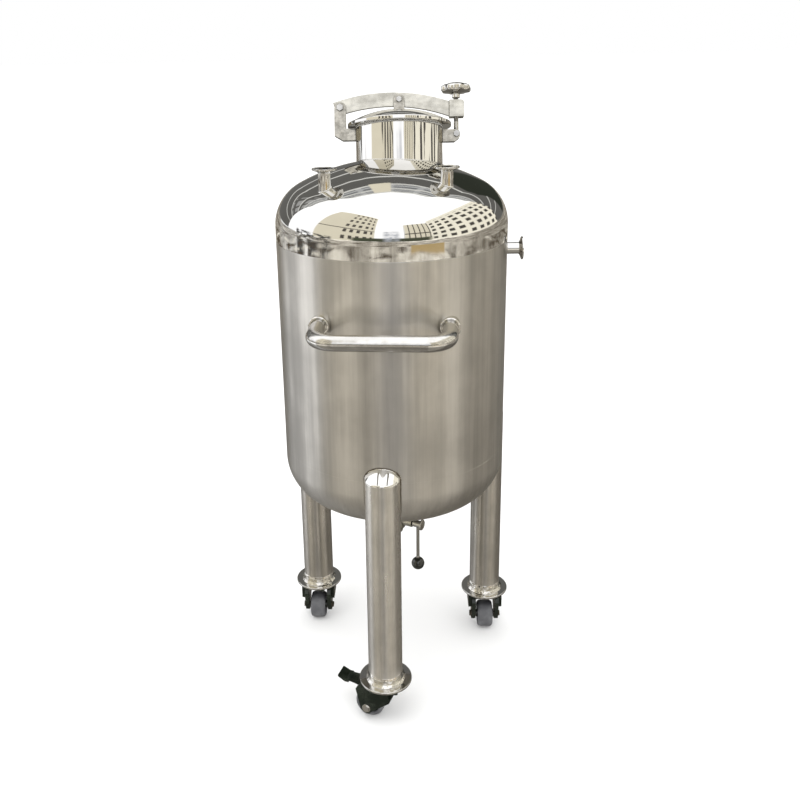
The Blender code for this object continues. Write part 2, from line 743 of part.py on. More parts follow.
def make_wheel(side, swivel):
    """A tyre on a hub, on an empty on the axle's axis."""
    axle = new_empty(f"axle_{side}_axis", swivel, (TRAILS[side], 0, WHEEL_RADIUS))
    bore = AXLE_RADIUS + GAP
    half = [
        (WHEEL_RADIUS, 0.0),
        (WHEEL_RADIUS, 0.0120),
        (WHEEL_RADIUS - 0.0016, 0.0160),
        (WHEEL_RADIUS - 0.0050, WHEEL_HALF_WIDTH),
        (0.0235, WHEEL_HALF_WIDTH - 0.0008),
        (0.0215, 0.0120),
        (0.0110, 0.0120),
        (0.0100, HUB_HALF_WIDTH),
        (bore, HUB_HALF_WIDTH),
    ]
    upper = [(radius, height) for radius, height in reversed(half)]
    lower = [(radius, -height) for radius, height in half[1:]]
    wheel = turned(f"wheel_{side}", upper + lower, 24, closed=True)
    add(wheel, TYRE_RUBBER, axle, UPRIGHT, ALONG_Y)
    reach = CHEEK_OUTER + GAP
    bolt, ends = hex_bolt(f"axle_{side}", AXLE_RADIUS, -reach, reach, 0.0078, 0.0045)
    place = (TRAILS[side], 0, WHEEL_RADIUS)
    add(bolt, BOLT_STEEL, swivel, place, ALONG_Y)
    for end in ends:
        join(bolt, add_helper(end, swivel, place, ALONG_Y))


def make_brake_pedal(swivel):
    """The front caster's foot brake: a boss on a pin between the cheeks, an arm and a pad."""
    pivot_x, pivot_z = PEDAL_PIVOT
    pedal_axis = new_empty("pedal_axis", swivel, (pivot_x, 0, pivot_z))
    reach = CHEEK_INNER - 0.0008
    pedal = cylinder("brake_pedal", 0.0055, -reach, reach, 20)
    add(pedal, BLACK_PAINT, pedal_axis, UPRIGHT, ALONG_Y)
    pin = cylinder("pedal_pin", PEDAL_PIN_RADIUS, -CHEEK_OUTER, CHEEK_OUTER, 16)
    join(pedal, add_helper(pin, pedal_axis, UPRIGHT, ALONG_Y))
    arm = [(-0.005, -0.0072), (0.012, -0.0072), (0.024, -0.0042), (0.040, -0.0016), (0.040, 0.0036)]
    arm += [(0.020, 0.0040), (0.006, 0.0080), (-0.005, 0.0080)]
    join(pedal, add_helper(upright_plate("pedal_arm", arm, PEDAL_ARM_WIDTH), pedal_axis))
    pad = [(0.036, -0.0030), (0.046, -0.0030), (0.062, 0.0060), (0.062, 0.0105), (0.045, 0.0030)]
    pad += [(0.036, 0.0030)]
    join(pedal, add_helper(upright_plate("pedal_pad", pad, PEDAL_PAD_WIDTH), pedal_axis))


def make_caster(side):
    x, y = leg_place(side)
    swivel = new_empty(f"swivel_{side}", TANK, (x, y, 0), (0, 0, CASTER_HEADINGS[side]))
    make_caster_plate(side)
    make_fork(side, swivel)
    make_wheel(side, swivel)
    if side == "front":
        make_brake_pedal(swivel)


# The outlet: nozzle, clamp, valve and its lever
def make_outlet():
    face = NOZZLE_FACE
    profile = [
        (NOZZLE_RADIUS, 0.45),
        (NOZZLE_RADIUS, face + 0.0085),
        (NOZZLE_RADIUS + 0.0030, face + 0.0056),
        (FERRULE_RADIUS, face + FERRULE_THICKNESS),
        (FERRULE_RADIUS, face),
        (NOZZLE_BORE, face),
        (NOZZLE_BORE, 0.45),
    ]
    nozzle = add(turned("outlet_nozzle", profile, 24, closed=True), SATIN_STEEL, TANK)
    cut(nozzle, VESSEL_OUTSIDE)
    groove = FERRULE_RADIUS + 0.0004
    high = face + FERRULE_THICKNESS + 0.0004
    low = 2 * (face - GAP / 2) - high
    lip = NOZZLE_RADIUS + 0.0042
    ring = [
        (0.0285, high + 0.0042),
        (0.0302, high + 0.0022),
        (0.0302, low - 0.0022),
        (0.0285, low - 0.0042),
        (lip, low - 0.0030),
        (groove, low),
        (groove, high),
        (lip, high + 0.0030),
    ]
    add(turned("outlet_clamp", ring, 24, closed=True), CAST_STEEL, TANK)


def make_valve():
    face = NOZZLE_FACE - GAP
    body_top = 0.3835
    profile = [
        (FERRULE_RADIUS, face),
        (FERRULE_RADIUS, face - FERRULE_THICKNESS),
        (NOZZLE_RADIUS + 0.0030, face - 0.0056),
        (NOZZLE_RADIUS + 0.0010, body_top),
        (VALVE_RADIUS - 0.003, body_top - 0.001),
        (VALVE_RADIUS, body_top - 0.004),
        (VALVE_RADIUS, 0.345),
        (0.0245, 0.339),
        (NOZZLE_RADIUS, 0.335),
        (NOZZLE_RADIUS, 0.328),
        (NOZZLE_BORE, 0.328),
        (NOZZLE_BORE, 0.354),
        (0, 0.354),
    ]
    profile = [(0, 0.364), (NOZZLE_BORE, 0.364), (NOZZLE_BORE, face)] + profile
    body = add(turned("valve_body", profile, 24), CAST_STEEL, TANK)
    along = (0, math.radians(90), STEM_HEADING)
    boss = add_helper(cylinder("stem_boss", 0.011, 0.020, 0.048, 24), TANK, (0, 0, STEM_Z), along)
    join(body, boss)
    bore = cylinder("stem_bore", 0.0053, 0.030, 0.060, 20)
    cut(body, add_helper(bore, TANK, (0, 0, STEM_Z), along))


def make_lever():
    """The valve's lever on its stem. The empty's X runs along the stem, outwards."""
    stem = new_empty("stem_axis", TANK, (0, 0, STEM_Z), (0, 0, STEM_HEADING))
    along = (0, math.radians(90), 0)
    profile = [
        (0, 0.0742),
        (0.0118, 0.0742),
        (0.0130, 0.0730),
        (0.0130, 0.0702),
        (0.0085, 0.0695),
        (0.0085, 0.0505),
        (0.0050, 0.0505),
        (0.0050, 0.0320),
        (0, 0.0320),
    ]
    hub = add(turned("valve_stem", profile, 24), BOLT_STEEL, stem, UPRIGHT, along)
    ball_centre = BALL_Z - STEM_Z
    rod = cylinder("lever_rod", LEVER_ROD_RADIUS, ball_centre + BALL_RADIUS - 0.002, 0.0, 16)
    join(hub, add_helper(rod, stem, (LEVER_PLACE, 0, 0)))
    work = bmesh.new()
    bmesh.ops.create_uvsphere(work, u_segments=16, v_segments=10, radius=BALL_RADIUS)
    ball = smooth(mesh_from("lever_ball", work))
    add(ball, BLACK_BALL, stem, (LEVER_PLACE, 0, ball_centre))
    socket = cylinder("ball_socket", LEVER_ROD_RADIUS + GAP, BALL_RADIUS - 0.0023, 0.02, 16)
    cut(ball, add_helper(socket, stem, (LEVER_PLACE, 0, ball_centre)))


make_shell_wall()
make_top_head()
make_bottom_head()
make_ports()
make_neck()
make_gasket()
make_lid()
make_lid_lug()
make_lid_pin()
make_clamp_arm()
make_hinge_bracket()
make_latch_bracket()
make_knob(make_swing_bolt())
make_handle()
for leg_side in LEG_ANGLES:
    make_leg(leg_side)
    make_caster(leg_side)
make_outlet()
make_valve()
make_lever()
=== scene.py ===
"""The looks of a mobile stainless steel tank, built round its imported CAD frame.

Metres, +Z up, the floor at z = 0. The camera looks roughly along +Y. Each piece is made in a local
frame, set in the part's frame by its mesh, and then rides on a CAD body.
"""

import math

import bmesh
import bpy
from mathutils import Matrix, Vector


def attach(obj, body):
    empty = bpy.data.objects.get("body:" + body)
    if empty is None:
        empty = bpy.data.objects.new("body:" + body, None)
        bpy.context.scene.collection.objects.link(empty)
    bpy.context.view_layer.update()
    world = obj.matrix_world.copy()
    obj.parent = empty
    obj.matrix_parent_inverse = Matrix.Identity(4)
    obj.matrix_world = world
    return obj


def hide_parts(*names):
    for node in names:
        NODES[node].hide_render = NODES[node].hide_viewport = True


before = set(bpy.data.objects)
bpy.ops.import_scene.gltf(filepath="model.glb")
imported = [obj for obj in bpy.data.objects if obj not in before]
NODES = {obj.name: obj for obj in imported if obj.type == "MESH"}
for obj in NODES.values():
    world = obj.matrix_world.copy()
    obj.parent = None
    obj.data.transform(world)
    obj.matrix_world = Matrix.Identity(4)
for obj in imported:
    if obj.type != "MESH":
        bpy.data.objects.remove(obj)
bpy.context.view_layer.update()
SCENE = bpy.context.scene

# The part's dimensions
AXIS_X = -0.0125
AXIS_Y = 0.0530
SHELL_RADIUS = 0.250
WALL = 0.004
CROWN_RADIUS = 0.425
KNUCKLE_RADIUS = 0.095
TOP_TANGENT = 1.080
TOP_SEAM = 1.050
BOTTOM_SEAM = 0.580
BOTTOM_TANGENT = 0.546
SEAM_WIDTH = 0.0006
SEAM_DEPTH = 0.0003
LEG_RADIUS = 0.0375
LEG_CIRCLE = 0.250
LEG_TURN = math.radians(-5.85)
LEG_ANGLES = {"front": math.radians(-90), "left": math.radians(150), "right": math.radians(30)}
LEG_TOP = 0.6125
LEG_TOP_SLOPE = 0.55
LEG_TOP_ARCH = 0.016
LEG_CAP = 0.003
LEG_CAP_EDGE = 0.0028
LEG_CAP_CROWN = 0.0012
LEG_WELD = 0.0024
# The weld's dark edge line: heat tint with painted shade along the undercut.
LEG_TINT_SHADE = 0.0017
LEG_TINT_SHADE_OUT = 0.0032
LEG_TINT_SHADE_UP = 0.0026
FOOT_WELD_HEIGHT = 0.020
DISC_RADIUS = 0.058
DISC_TOP = 0.104
DISC_THICKNESS = 0.005
PLATE_HEADINGS = {"front": math.radians(-95), "left": math.radians(-105), "right": math.radians(-92)}
CASTER_HEADINGS = {"front": math.radians(159), "left": math.radians(-93), "right": math.radians(-90)}
TRAILS = {"front": 0.0345, "left": 0.019, "right": 0.019}
WHEEL_RADIUS = 0.033
WHEEL_HALF_WIDTH = 0.0190
HUB_HALF_WIDTH = 0.0225
CHEEK_OUTER = 0.0340
HANDHOLE_PLACE = (0.0189, 0.1016, 1.1994)
HANDHOLE_LEAN = math.radians(-15)
NECK_X = 0.00105
NECK_RADIUS = 0.09608
NECK_BORE = 0.0924
NECK_TOP = 0.06898
NECK_FOOT = -0.040
LID_X = 0.0021
LID_RADIUS = 0.11487
LID_BOTTOM = 0.07172
LID_APEX = 0.1092
LID_DOME_RADIUS = 0.11025
LID_DOME_FOOT = 0.08085
LID_SHEET = 0.00315
LID_OPENING = 0.0861
GASKET_OUTER = 0.09681
GASKET_INNER = 0.0903
SWING_X = 0.1281
SWING_Z = 0.0546
KNOB_BOTTOM = 0.147
KNOB_TOP = 0.16695
KNOB_RADIUS = 0.03413
KNOB_LOBES = 8
KNOB_TURN = math.radians(12.5)
HUB_BOTTOM = 0.13419
HUB_RADIUS = 0.00893
HUB_BORE = 0.00557
THREAD_RADIUS = 0.00525
THREAD_ROOT = 0.00467
THREAD_PITCH = 0.00158
THREAD_START = 0.0819
EYE_RADIUS = 0.00819
EYE_BORE = 0.00462
PORT_TUBE = 0.0127
PORT_BORE = 0.0112
FERRULE_RADIUS = 0.02525
FERRULE_THICKNESS = 0.00285
PORT_TOP = 1.214
PORT_PLACES = {"left": (-0.1325, -0.122), "right": (0.1125, -0.122)}
SIDE_PORT_Z = 1.018
SIDE_PORT_END = 0.285
HANDLE_Z = 0.915
HANDLE_RADIUS = 0.016
HANDLE_HALF_SPAN = 0.131
HANDLE_REACH = 0.3348
HANDLE_BEND = 0.045
HANDLE_TURN = math.radians(-4.2)
ROSETTE_RADIUS = 0.0208
ROSETTE_FACE = 0.236
NOZZLE_RADIUS = 0.019
NOZZLE_BORE = 0.0175
NOZZLE_FACE = 0.3912
VALVE_RADIUS = 0.027
VALVE_TOP = 0.3835
VALVE_FOOT = 0.328
STEM_Z = 0.359
STEM_HEADING = math.radians(-29)
BALL_Z = 0.2536
BALL_RADIUS = 0.0155
LEVER_ROD_RADIUS = 0.0043
LEVER_PLACE = 0.0615
GAP = 0.0003

# The photograph's frame and camera
FRAME_PIXELS = 800
FOCAL_PIXELS = 911.31
CENTRE_COLUMN = 372.10
CENTRE_ROW = 326.87
SENSOR_WIDTH = 36.0
CAMERA_DISTANCE = 1.9484
CAMERA_HEIGHT = 1.46406
CAMERA_PITCH = 0.3091
CAMERA_YAW = -0.0236
CAMERA_ROLL = -0.0202
FLOOR_SIZE = 60.0

FINE = 256
MEDIUM = 96
SMALL = 64


# Local frames
def moved(x, y, z):
    return Matrix.Translation((x, y, z))


def turned(angle, axis):
    return Matrix.Rotation(angle, 4, axis)


def polar(radius, angle, height=0.0):
    return Vector((radius * math.cos(angle), radius * math.sin(angle), height))


TANK = moved(AXIS_X, AXIS_Y, 0)
HANDHOLE = TANK @ moved(*HANDHOLE_PLACE) @ turned(HANDHOLE_LEAN, "X")
NECK = HANDHOLE @ moved(NECK_X, 0, 0)
LID = HANDHOLE @ moved(LID_X, 0, 0)
SWING = HANDHOLE @ moved(SWING_X, 0, 0)
HANDLE = TANK @ moved(0, 0, HANDLE_Z) @ turned(HANDLE_TURN, "Z")
STEM = TANK @ moved(0, 0, STEM_Z) @ turned(STEM_HEADING, "Z")
ALONG_X = turned(math.radians(90), "Y")
ALONG_Y = turned(math.radians(90), "X")
SIDE_PORT = TANK @ moved(0, 0, SIDE_PORT_Z) @ ALONG_X


def leg_centre(side):
    """A leg's middle in the tank's own frame, and its heading."""
    turn = LEG_ANGLES[side] + LEG_TURN
    return polar(LEG_CIRCLE, turn), turn


def leg_frame(side):
    return TANK @ moved(*leg_centre(side)[0])


def swivel_frame(side):
    return leg_frame(side) @ turned(CASTER_HEADINGS[side], "Z")


def axle_frame(side):
    return swivel_frame(side) @ moved(TRAILS[side], 0, WHEEL_RADIUS) @ ALONG_Y


# Shader trees
class Tree:
    """Makes nodes in one tree. An input is a socket, a number or a colour."""

    def __init__(self, tree):
        self.tree = tree

    def node(self, kind, inputs=None, **settings):
        made = self.tree.nodes.new(kind)
        for name, value in settings.items():
            setattr(made, name, value)
        for key, value in (inputs or {}).items():
            self.set(made.inputs[key], value)
        return made

    def set(self, socket, value):
        if isinstance(value, bpy.types.NodeSocket):
            self.tree.links.new(value, socket)
        elif socket.type == "RGBA":
            socket.default_value = (*value, 1.0)
        else:
            socket.default_value = value

    def math(self, operation, first, second=0.0):
        return self.node("ShaderNodeMath", {0: first, 1: second}, operation=operation).outputs[0]

    def times(self, first, second):
        return self.math("MULTIPLY", first, second)

    def between(self, value, low, high, to_low=0.0, to_high=1.0):
        """The value's way from low to high, as a smooth step between two numbers."""
        made = self.node("ShaderNodeMapRange", interpolation_type="SMOOTHSTEP")
        for key, number in enumerate((value, low, high, to_low, to_high)):
            self.set(made.inputs[key], number)
        return made.outputs[0]

    def mix(self, factor, first, second):
        made = self.node("ShaderNodeMix", data_type="RGBA")
        for key, value in ((0, factor), (6, first), (7, second)):
            self.set(made.inputs[key], value)
        return made.outputs[2]

    def noise(self, coordinates, scale, detail=3.0, roughness=0.5):
        """Noise from 0 to 1, stretched by a scale for each axis."""
        mapped = self.node("ShaderNodeMapping", {"Vector": coordinates, "Scale": scale})
        made = self.node(
            "ShaderNodeTexNoise",
            {"Vector": mapped.outputs[0], "Scale": 1.0, "Detail": detail, "Roughness": roughness},
        )
        return made.outputs[0]

    def position(self):
        return self.node("ShaderNodeTexCoord").outputs["Object"]


def new_material(name, metallic):
    made = bpy.data.materials.new("look_" + name)
    made.use_nodes = True
    shader = made.node_tree.nodes["Principled BSDF"]
    shader.inputs["Metallic"].default_value = metallic
    return made, Tree(made.node_tree), shader


def bump(tree, height, distance, below=None):
    inputs = {"Height": height, "Strength": 1.0, "Distance": distance}
    if below is not None:
        inputs["Normal"] = below
    return tree.node("ShaderNodeBump", inputs).outputs[0]


# Each steel's colour, roughness range, streak scales, cloud scales, waves (scale and depth) and stain
STEELS = {
    "mirror_steel": ((0.66, 0.65, 0.625), (0.02, 0.05), (9, 9, 9), (30, 30, 30), (9, 0.0008), 0.05),
    "tube_steel": ((0.64, 0.625, 0.595), (0.10, 0.20), (14, 90, 90), (40, 40, 40), (26, 0.0006), 0.18),
    "weld_steel": ((0.68, 0.66, 0.62), (0.05, 0.12), (60, 60, 60), (140, 140, 140), (75, 0.0020), 0.25),
    "satin_steel": ((0.66, 0.635, 0.595), (0.30, 0.38), (34, 34, 1.2), (6, 6, 5), (5, 0.0010), 0.34),
    "leg_steel": ((0.53, 0.505, 0.465), (0.26, 0.38), (90, 90, 4), (22, 22, 12), (11, 0.0008), 0.3),
    # The leg steel made brighter: painted light on the front leg.
    "lit_front_leg_steel": ((0.74, 0.71, 0.66), (0.26, 0.38), (90, 90, 4), (22, 22, 12), (11, 0.0008), 0.3),
    "cast_steel": ((0.56, 0.54, 0.475), (0.12, 0.26), (18, 40, 60), (60, 60, 60), (24, 0.0012), 0.3),
    "bracket_steel": ((0.48, 0.455, 0.395), (0.12, 0.28), (40, 40, 40), (90, 90, 90), (40, 0.0012), 0.4),
    "bolt_steel": ((0.50, 0.49, 0.465), (0.08, 0.20), (90, 90, 90), (220, 220, 220), (60, 0.0003), 0.2),
    # Heat tint with painted shade at the legs' weld edges, and painted shade on the rear casters' axle
    # bolts and washers.
    "tinted_and_shaded_steel": ((0.16, 0.14, 0.11), (0.25, 0.4), (60, 60, 60), (90, 90, 90), (40, 0.0006), 0.4),
}
BRUSHED = ("satin_steel", "leg_steel", "lit_front_leg_steel")
# Painted shade: each steel here darkens its colour near other surfaces, within the distance given.
CREVICE_SHADE = {"cast_steel": 0.004, "bracket_steel": 0.004, "bolt_steel": 0.0025}
# Each other material's two colours, roughness range, grain (scale and depth), coat and gloss
PLAINS = {
    "gasket_rubber": ((0.45, 0.44, 0.41), (0.6, 0.59, 0.55), (0.45, 0.6), (900, 0.00004), 0.0, 0.5),
    "black_paint": ((0.004, 0.007, 0.004), (0.016, 0.021, 0.014), (0.10, 0.28), (160, 0.00012), 0.1, 0.3),
    "tyre_rubber": ((0.085, 0.087, 0.094), (0.135, 0.137, 0.143), (0.5, 0.7), (1500, 0.00006), 0.0, 0.5),
    "black_ball": ((0.004, 0.005, 0.0035), (0.008, 0.009, 0.007), (0.08, 0.16), (120, 0.00002), 0.5, 0.5),
}


def steel(name, colour, rough, streaks, clouds, waves, stain):
    """Stainless steel, with streaks and clouds that are duller and darker by the stain's share.

    A brushed steel's lines run round the upright axis, so that reflections are drawn out up and down.
    A steel in CREVICE_SHADE has painted shade: its colour is darker where another surface lies within the
    distance given there.
    """
    made, tree, shader = new_material(name, 1.0)
    place = tree.position()
    streak = tree.noise(place, streaks, 4.0, 0.6)
    cloud = tree.noise(place, clouds, 4.0, 0.55)
    both = tree.math("ADD", tree.times(streak, 0.5), tree.times(cloud, 0.5))
    mask = tree.between(both, 0.35, 0.65)
    tree.set(shader.inputs["Roughness"], tree.between(both, 0.33, 0.67, *rough))
    stain_and_crevice_shade = tree.mix(mask, colour, [part * (1.0 - stain) for part in colour])
    # Painted shade in crevices and between parts, from the occlusion of nearby surfaces.
    if name in CREVICE_SHADE:
        near = tree.node("ShaderNodeAmbientOcclusion", {"Distance": CREVICE_SHADE[name]}, samples=4)
        open_share = tree.between(near.outputs["AO"], 0.35, 0.95)
        stain_and_crevice_shade = tree.mix(open_share, (0.05, 0.045, 0.035), stain_and_crevice_shade)
    tree.set(shader.inputs["Base Color"], stain_and_crevice_shade)
    normal = bump(tree, tree.noise(place, (waves[0],) * 3, 2.0), waves[1])
    if name in BRUSHED:
        lines = tree.noise(place, (12.0, 12.0, 1500.0), 2.0, 0.6)
        normal = bump(tree, lines, 0.00001, normal)
        shader.inputs["Anisotropic"].default_value = 0.85
        shader.inputs["Anisotropic Rotation"].default_value = 0.25
        tangent = tree.node("ShaderNodeTangent", direction_type="RADIAL", axis="Z")
        tree.set(shader.inputs["Tangent"], tangent.outputs[0])
    tree.set(shader.inputs["Normal"], normal)
    return made


def plain(name, dark, light, rough, grain, coat, gloss):
    """Rubber, plastic or paint, mottled between two colours."""
    made, tree, shader = new_material(name, 0.0)
    place = tree.position()
    cloud = tree.noise(place, (40.0,) * 3, 4.0, 0.6)
    mask = tree.between(cloud, 0.38, 0.70)
    tree.set(shader.inputs["Base Color"], tree.mix(mask, dark, light))
    tree.set(shader.inputs["Roughness"], tree.between(cloud, 0.35, 0.65, *rough))
    tree.set(shader.inputs["Normal"], bump(tree, tree.noise(place, (grain[0],) * 3, 2.0), grain[1]))
    shader.inputs["Coat Weight"].default_value = coat
    shader.inputs["Specular IOR Level"].default_value = gloss
    return made


MATERIALS = {name: steel(name, *look) for name, look in STEELS.items()}
MATERIALS.update({name: plain(name, *look) for name, look in PLAINS.items()})


# Shapes
def mesh_from(name, work):
    mesh = bpy.data.meshes.new(name)
    work.to_mesh(mesh)
    work.free()
    obj = bpy.data.objects.new(name, mesh)
    SCENE.collection.objects.link(obj)
    return obj


def eased(points, closed=False, count=4):
    """The outline, with an arc at each point whose third number is a radius."""
    made = []
    last = len(points) - 1
    for i, point in enumerate(points):
        here = Vector(point[:2])
        if len(point) < 3 or (not closed and i in (0, last)):
            made.append(here)
            continue
        before = Vector(points[i - 1][:2]) - here
        after = Vector(points[(i + 1) % len(points)][:2]) - here
        reach = point[2] / math.tan(before.angle(after) / 2)
        reach = min(reach, before.length * 0.48, after.length * 0.48)
        start = here + before.normalized() * reach
        end = here + after.normalized() * reach
        for k in range(count + 1):
            t = k / count
            made.append(start * (1 - t) ** 2 + here * (2 * t * (1 - t)) + end * t**2)
    return [(point.x, point.y) for point in made]


def skin(work, rings, closed):
    """Faces between rings of points. A ring of one point is a pole."""
    pairs = list(zip(rings, rings[1:]))
    if closed:
        pairs.append((rings[-1], rings[0]))
    for first, second in pairs:
        count = max(len(first), len(second))
        for k in range(count):
            after = (k + 1) % count
            corners = [
                first[k % len(first)],
                first[after % len(first)],
                second[after % len(second)],
                second[k % len(second)],
            ]
            corners = list(dict.fromkeys(corners))
            if len(corners) > 2:
                work.faces.new(corners)
    bmesh.ops.recalc_face_normals(work, faces=work.faces)


def lathe(name, profile, steps=MEDIUM, closed=False, sides=None):
    """A shape turned about local Z, from (radius, height) points. sides gives a radius for an angle."""
    work = bmesh.new()
    rings = []
    for radius, height in profile:
        if radius < 1e-6:
            rings.append([work.verts.new((0, 0, height))])
            continue
        ring = []
        for k in range(steps):
            angle = math.tau * k / steps
            reach = sides(radius, angle) if sides else radius
            ring.append(work.verts.new(polar(reach, angle, height)))
        rings.append(ring)
    skin(work, rings, closed)
    return mesh_from(name, work)


def hoop(name, outline, steps=MEDIUM, sides=None):
    """A shape turned about local Z, from a closed outline with its arcs still to be made."""
    return lathe(name, eased(outline, True), steps, True, sides)


def sweep(name, points, radius, sides=14, closed=True, ripple=0.0, pitch=0.004, facing=None):
    """A round bead along points. Its radius ripples by a share of itself."""
    work = bmesh.new()
    count = len(points)
    centre = sum(points, Vector()) / count
    rings = []
    way = 0.0
    for i, point in enumerate(points):
        before = points[i - 1] if closed or i else point
        after = points[(i + 1) % count] if closed or i < count - 1 else point
        along = (after - before).normalized()
        outward = facing if facing is not None else point - centre
        side = along.cross(outward).normalized()
        top = side.cross(along).normalized()
        way += (point - before).length
        size = radius * (1 + ripple * math.sin(math.tau * way / pitch))
        ring = []
        for k in range(sides):
            angle = math.tau * k / sides
            ring.append(work.verts.new(point + (top * math.cos(angle) + side * math.sin(angle)) * size))
        rings.append(ring)
    skin(work, rings, closed)
    if not closed:
        work.faces.new(rings[0])
        work.faces.new(rings[-1])
        bmesh.ops.recalc_face_normals(work, faces=work.faces)
    return mesh_from(name, work)


def copied(name, node):
    """A copy of a CAD node's mesh with its points welded and its flat faces made whole."""
    work = bmesh.new()
    work.from_mesh(NODES[node].data)
    bmesh.ops.remove_doubles(work, verts=work.verts, dist=0.000002)
    flat = math.radians(0.6)
    bmesh.ops.dissolve_limit(work, angle_limit=flat, verts=work.verts, edges=work.edges)
    return mesh_from(name, work)


def circle(radius, count=MEDIUM):
    return [polar(radius, math.tau * k / count) for k in range(count)]


def arc(centre, radius, start, end, count):
    points = []
    for k in range(count + 1):
        angle = math.radians(start + (end - start) * k / count)
        points.append((centre[0] + radius * math.cos(angle), centre[1] + radius * math.sin(angle)))
    return points


# Finishing a piece
def finished(obj):
    """The object with its modifiers applied."""
    bpy.context.view_layer.update()
    graph = bpy.context.evaluated_depsgraph_get()
    mesh = bpy.data.meshes.new_from_object(obj.evaluated_get(graph))
    obj.modifiers.clear()
    obj.data = mesh
    return obj


def cut(obj, other, keep_other=False, operation="DIFFERENCE"):
    change = obj.modifiers.new("cut", "BOOLEAN")
    change.operation = operation
    change.solver = "EXACT"
    change.object = other
    finished(obj)
    if not keep_other:
        bpy.data.objects.remove(other)


def trimmed(obj, place):
    """Sets the object in place and takes off what lies inside the vessel."""
    obj.data.transform(place)
    cut(obj, OUTSIDE, keep_other=True)


def softened(obj, width, segments=3):
    change = obj.modifiers.new("edges", "BEVEL")
    change.width = width
    change.segments = segments
    change.limit_method = "ANGLE"
    change.angle_limit = math.radians(28)
    change.miter_outer = "MITER_ARC"
    return finished(obj)


def show(obj, slot, body="tank", nodes=(), place=None, sharp=35, weighted=True, look=None):
    """Puts a finished piece in place, with its material, on its body and for its CAD nodes."""
    if place is not None:
        obj.data.transform(place)
    obj.data.materials.clear()
    obj.data.materials.append(MATERIALS[look or slot])
    obj.data.shade_smooth()
    if sharp:
        obj.data.set_sharp_from_angle(angle=math.radians(sharp))
    if weighted:
        change = obj.modifiers.new("normals", "WEIGHTED_NORMAL")
        change.mode = "FACE_AREA"
        change.keep_sharp = True
        finished(obj)
    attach(obj, body)
    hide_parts(*nodes)


# The vessel's outside
KNUCKLE_CENTRE = SHELL_RADIUS - KNUCKLE_RADIUS
CROWN_DROP = math.sqrt((CROWN_RADIUS - KNUCKLE_RADIUS) ** 2 - KNUCKLE_CENTRE**2)
MEET = math.asin(KNUCKLE_CENTRE / (CROWN_RADIUS - KNUCKLE_RADIUS))


def head_height(radius):
    """Height of a dished end above its tangent line, at a distance from the axis."""
    if radius < CROWN_RADIUS * math.sin(MEET):
        return math.sqrt(CROWN_RADIUS**2 - radius**2) - CROWN_DROP
    reach = min(radius, SHELL_RADIUS) - KNUCKLE_CENTRE
    return math.sqrt(max(KNUCKLE_RADIUS**2 - reach**2, 0))


def head_curve(inset, crown_rows, knuckle_rows):
    """Points (radius, height) of a dished end, from its apex down."""
    points = []
    for i in range(crown_rows + 1):
        angle = MEET * i / crown_rows
        crown = CROWN_RADIUS - inset
        points.append((crown * math.sin(angle), crown * math.cos(angle) - CROWN_DROP))
    for i in range(1, knuckle_rows + 1):
        angle = MEET + (math.pi / 2 - MEET) * i / knuckle_rows
        knuckle = KNUCKLE_RADIUS - inset
        points.append((KNUCKLE_CENTRE + knuckle * math.sin(angle), knuckle * math.cos(angle)))
    return points


def raised(points, tangent):
    return [(radius, tangent + height) for radius, height in points]


def lowered(points, tangent):
    return [(radius, tangent - height) for radius, height in points]


def vessel_normal(point):
    """Distance from the vessel's outside, and the way out, at a point of the part's frame."""
    x, y = point.x - AXIS_X, point.y - AXIS_Y
    radius = math.hypot(x, y)
    outward = Vector((x, y, 0)).normalized() if radius > 1e-6 else Vector((0, 0, 0))
    if BOTTOM_TANGENT <= point.z <= TOP_TANGENT:
        return radius - SHELL_RADIUS, outward
    way = 1 if point.z > TOP_TANGENT else -1
    height = (point.z - TOP_TANGENT) if way > 0 else (BOTTOM_TANGENT - point.z)
    if math.atan2(radius, height + CROWN_DROP) < MEET:
        ray = outward * radius + Vector((0, 0, way * (height + CROWN_DROP)))
        return ray.length - CROWN_RADIUS, ray.normalized()
    ray = outward * (radius - KNUCKLE_CENTRE) + Vector((0, 0, way * height))
    return ray.length - KNUCKLE_RADIUS, ray.normalized()


def true_normals(obj):
    """Gives the corners on the vessel's outside their exact normals, so that a cut leaves no mark."""
    mesh = obj.data
    near = 0.00005
    normals = [Vector((0, 0, 0))] * len(mesh.loops)
    for face in mesh.polygons:
        away, outward = vessel_normal(face.center)
        if abs(away) > 0.0006 or face.normal.dot(outward) < 0.9:
            continue
        for index in face.loop_indices:
            point = mesh.vertices[mesh.loops[index].vertex_index].co
            away, outward = vessel_normal(point)
            if abs(away) < near:
                normals[index] = outward
    mesh.normals_split_custom_set(normals)


def vessel_piece(name, profile, slot, nodes, holes, closed=False):
    obj = lathe(name, profile, FINE, closed)
    obj.data.transform(TANK)
    for hole in holes:
        cut(obj, hole)
    show(obj, slot, nodes=nodes, weighted=False)
    true_normals(obj)


def rod(radius, low, high, place, steps=SMALL):
    """A plain cylinder to cut with."""
    obj = lathe("cutter", [(0, low), (radius, low), (radius, high), (0, high)], steps)
    obj.data.transform(place)
    return obj


OUTSIDE = lathe(
    "outside",
    raised(head_curve(0, 14, 14), TOP_TANGENT) + lowered(head_curve(0, 14, 14), BOTTOM_TANGENT)[::-1],
    MEDIUM,
)
OUTSIDE.data.transform(TANK)


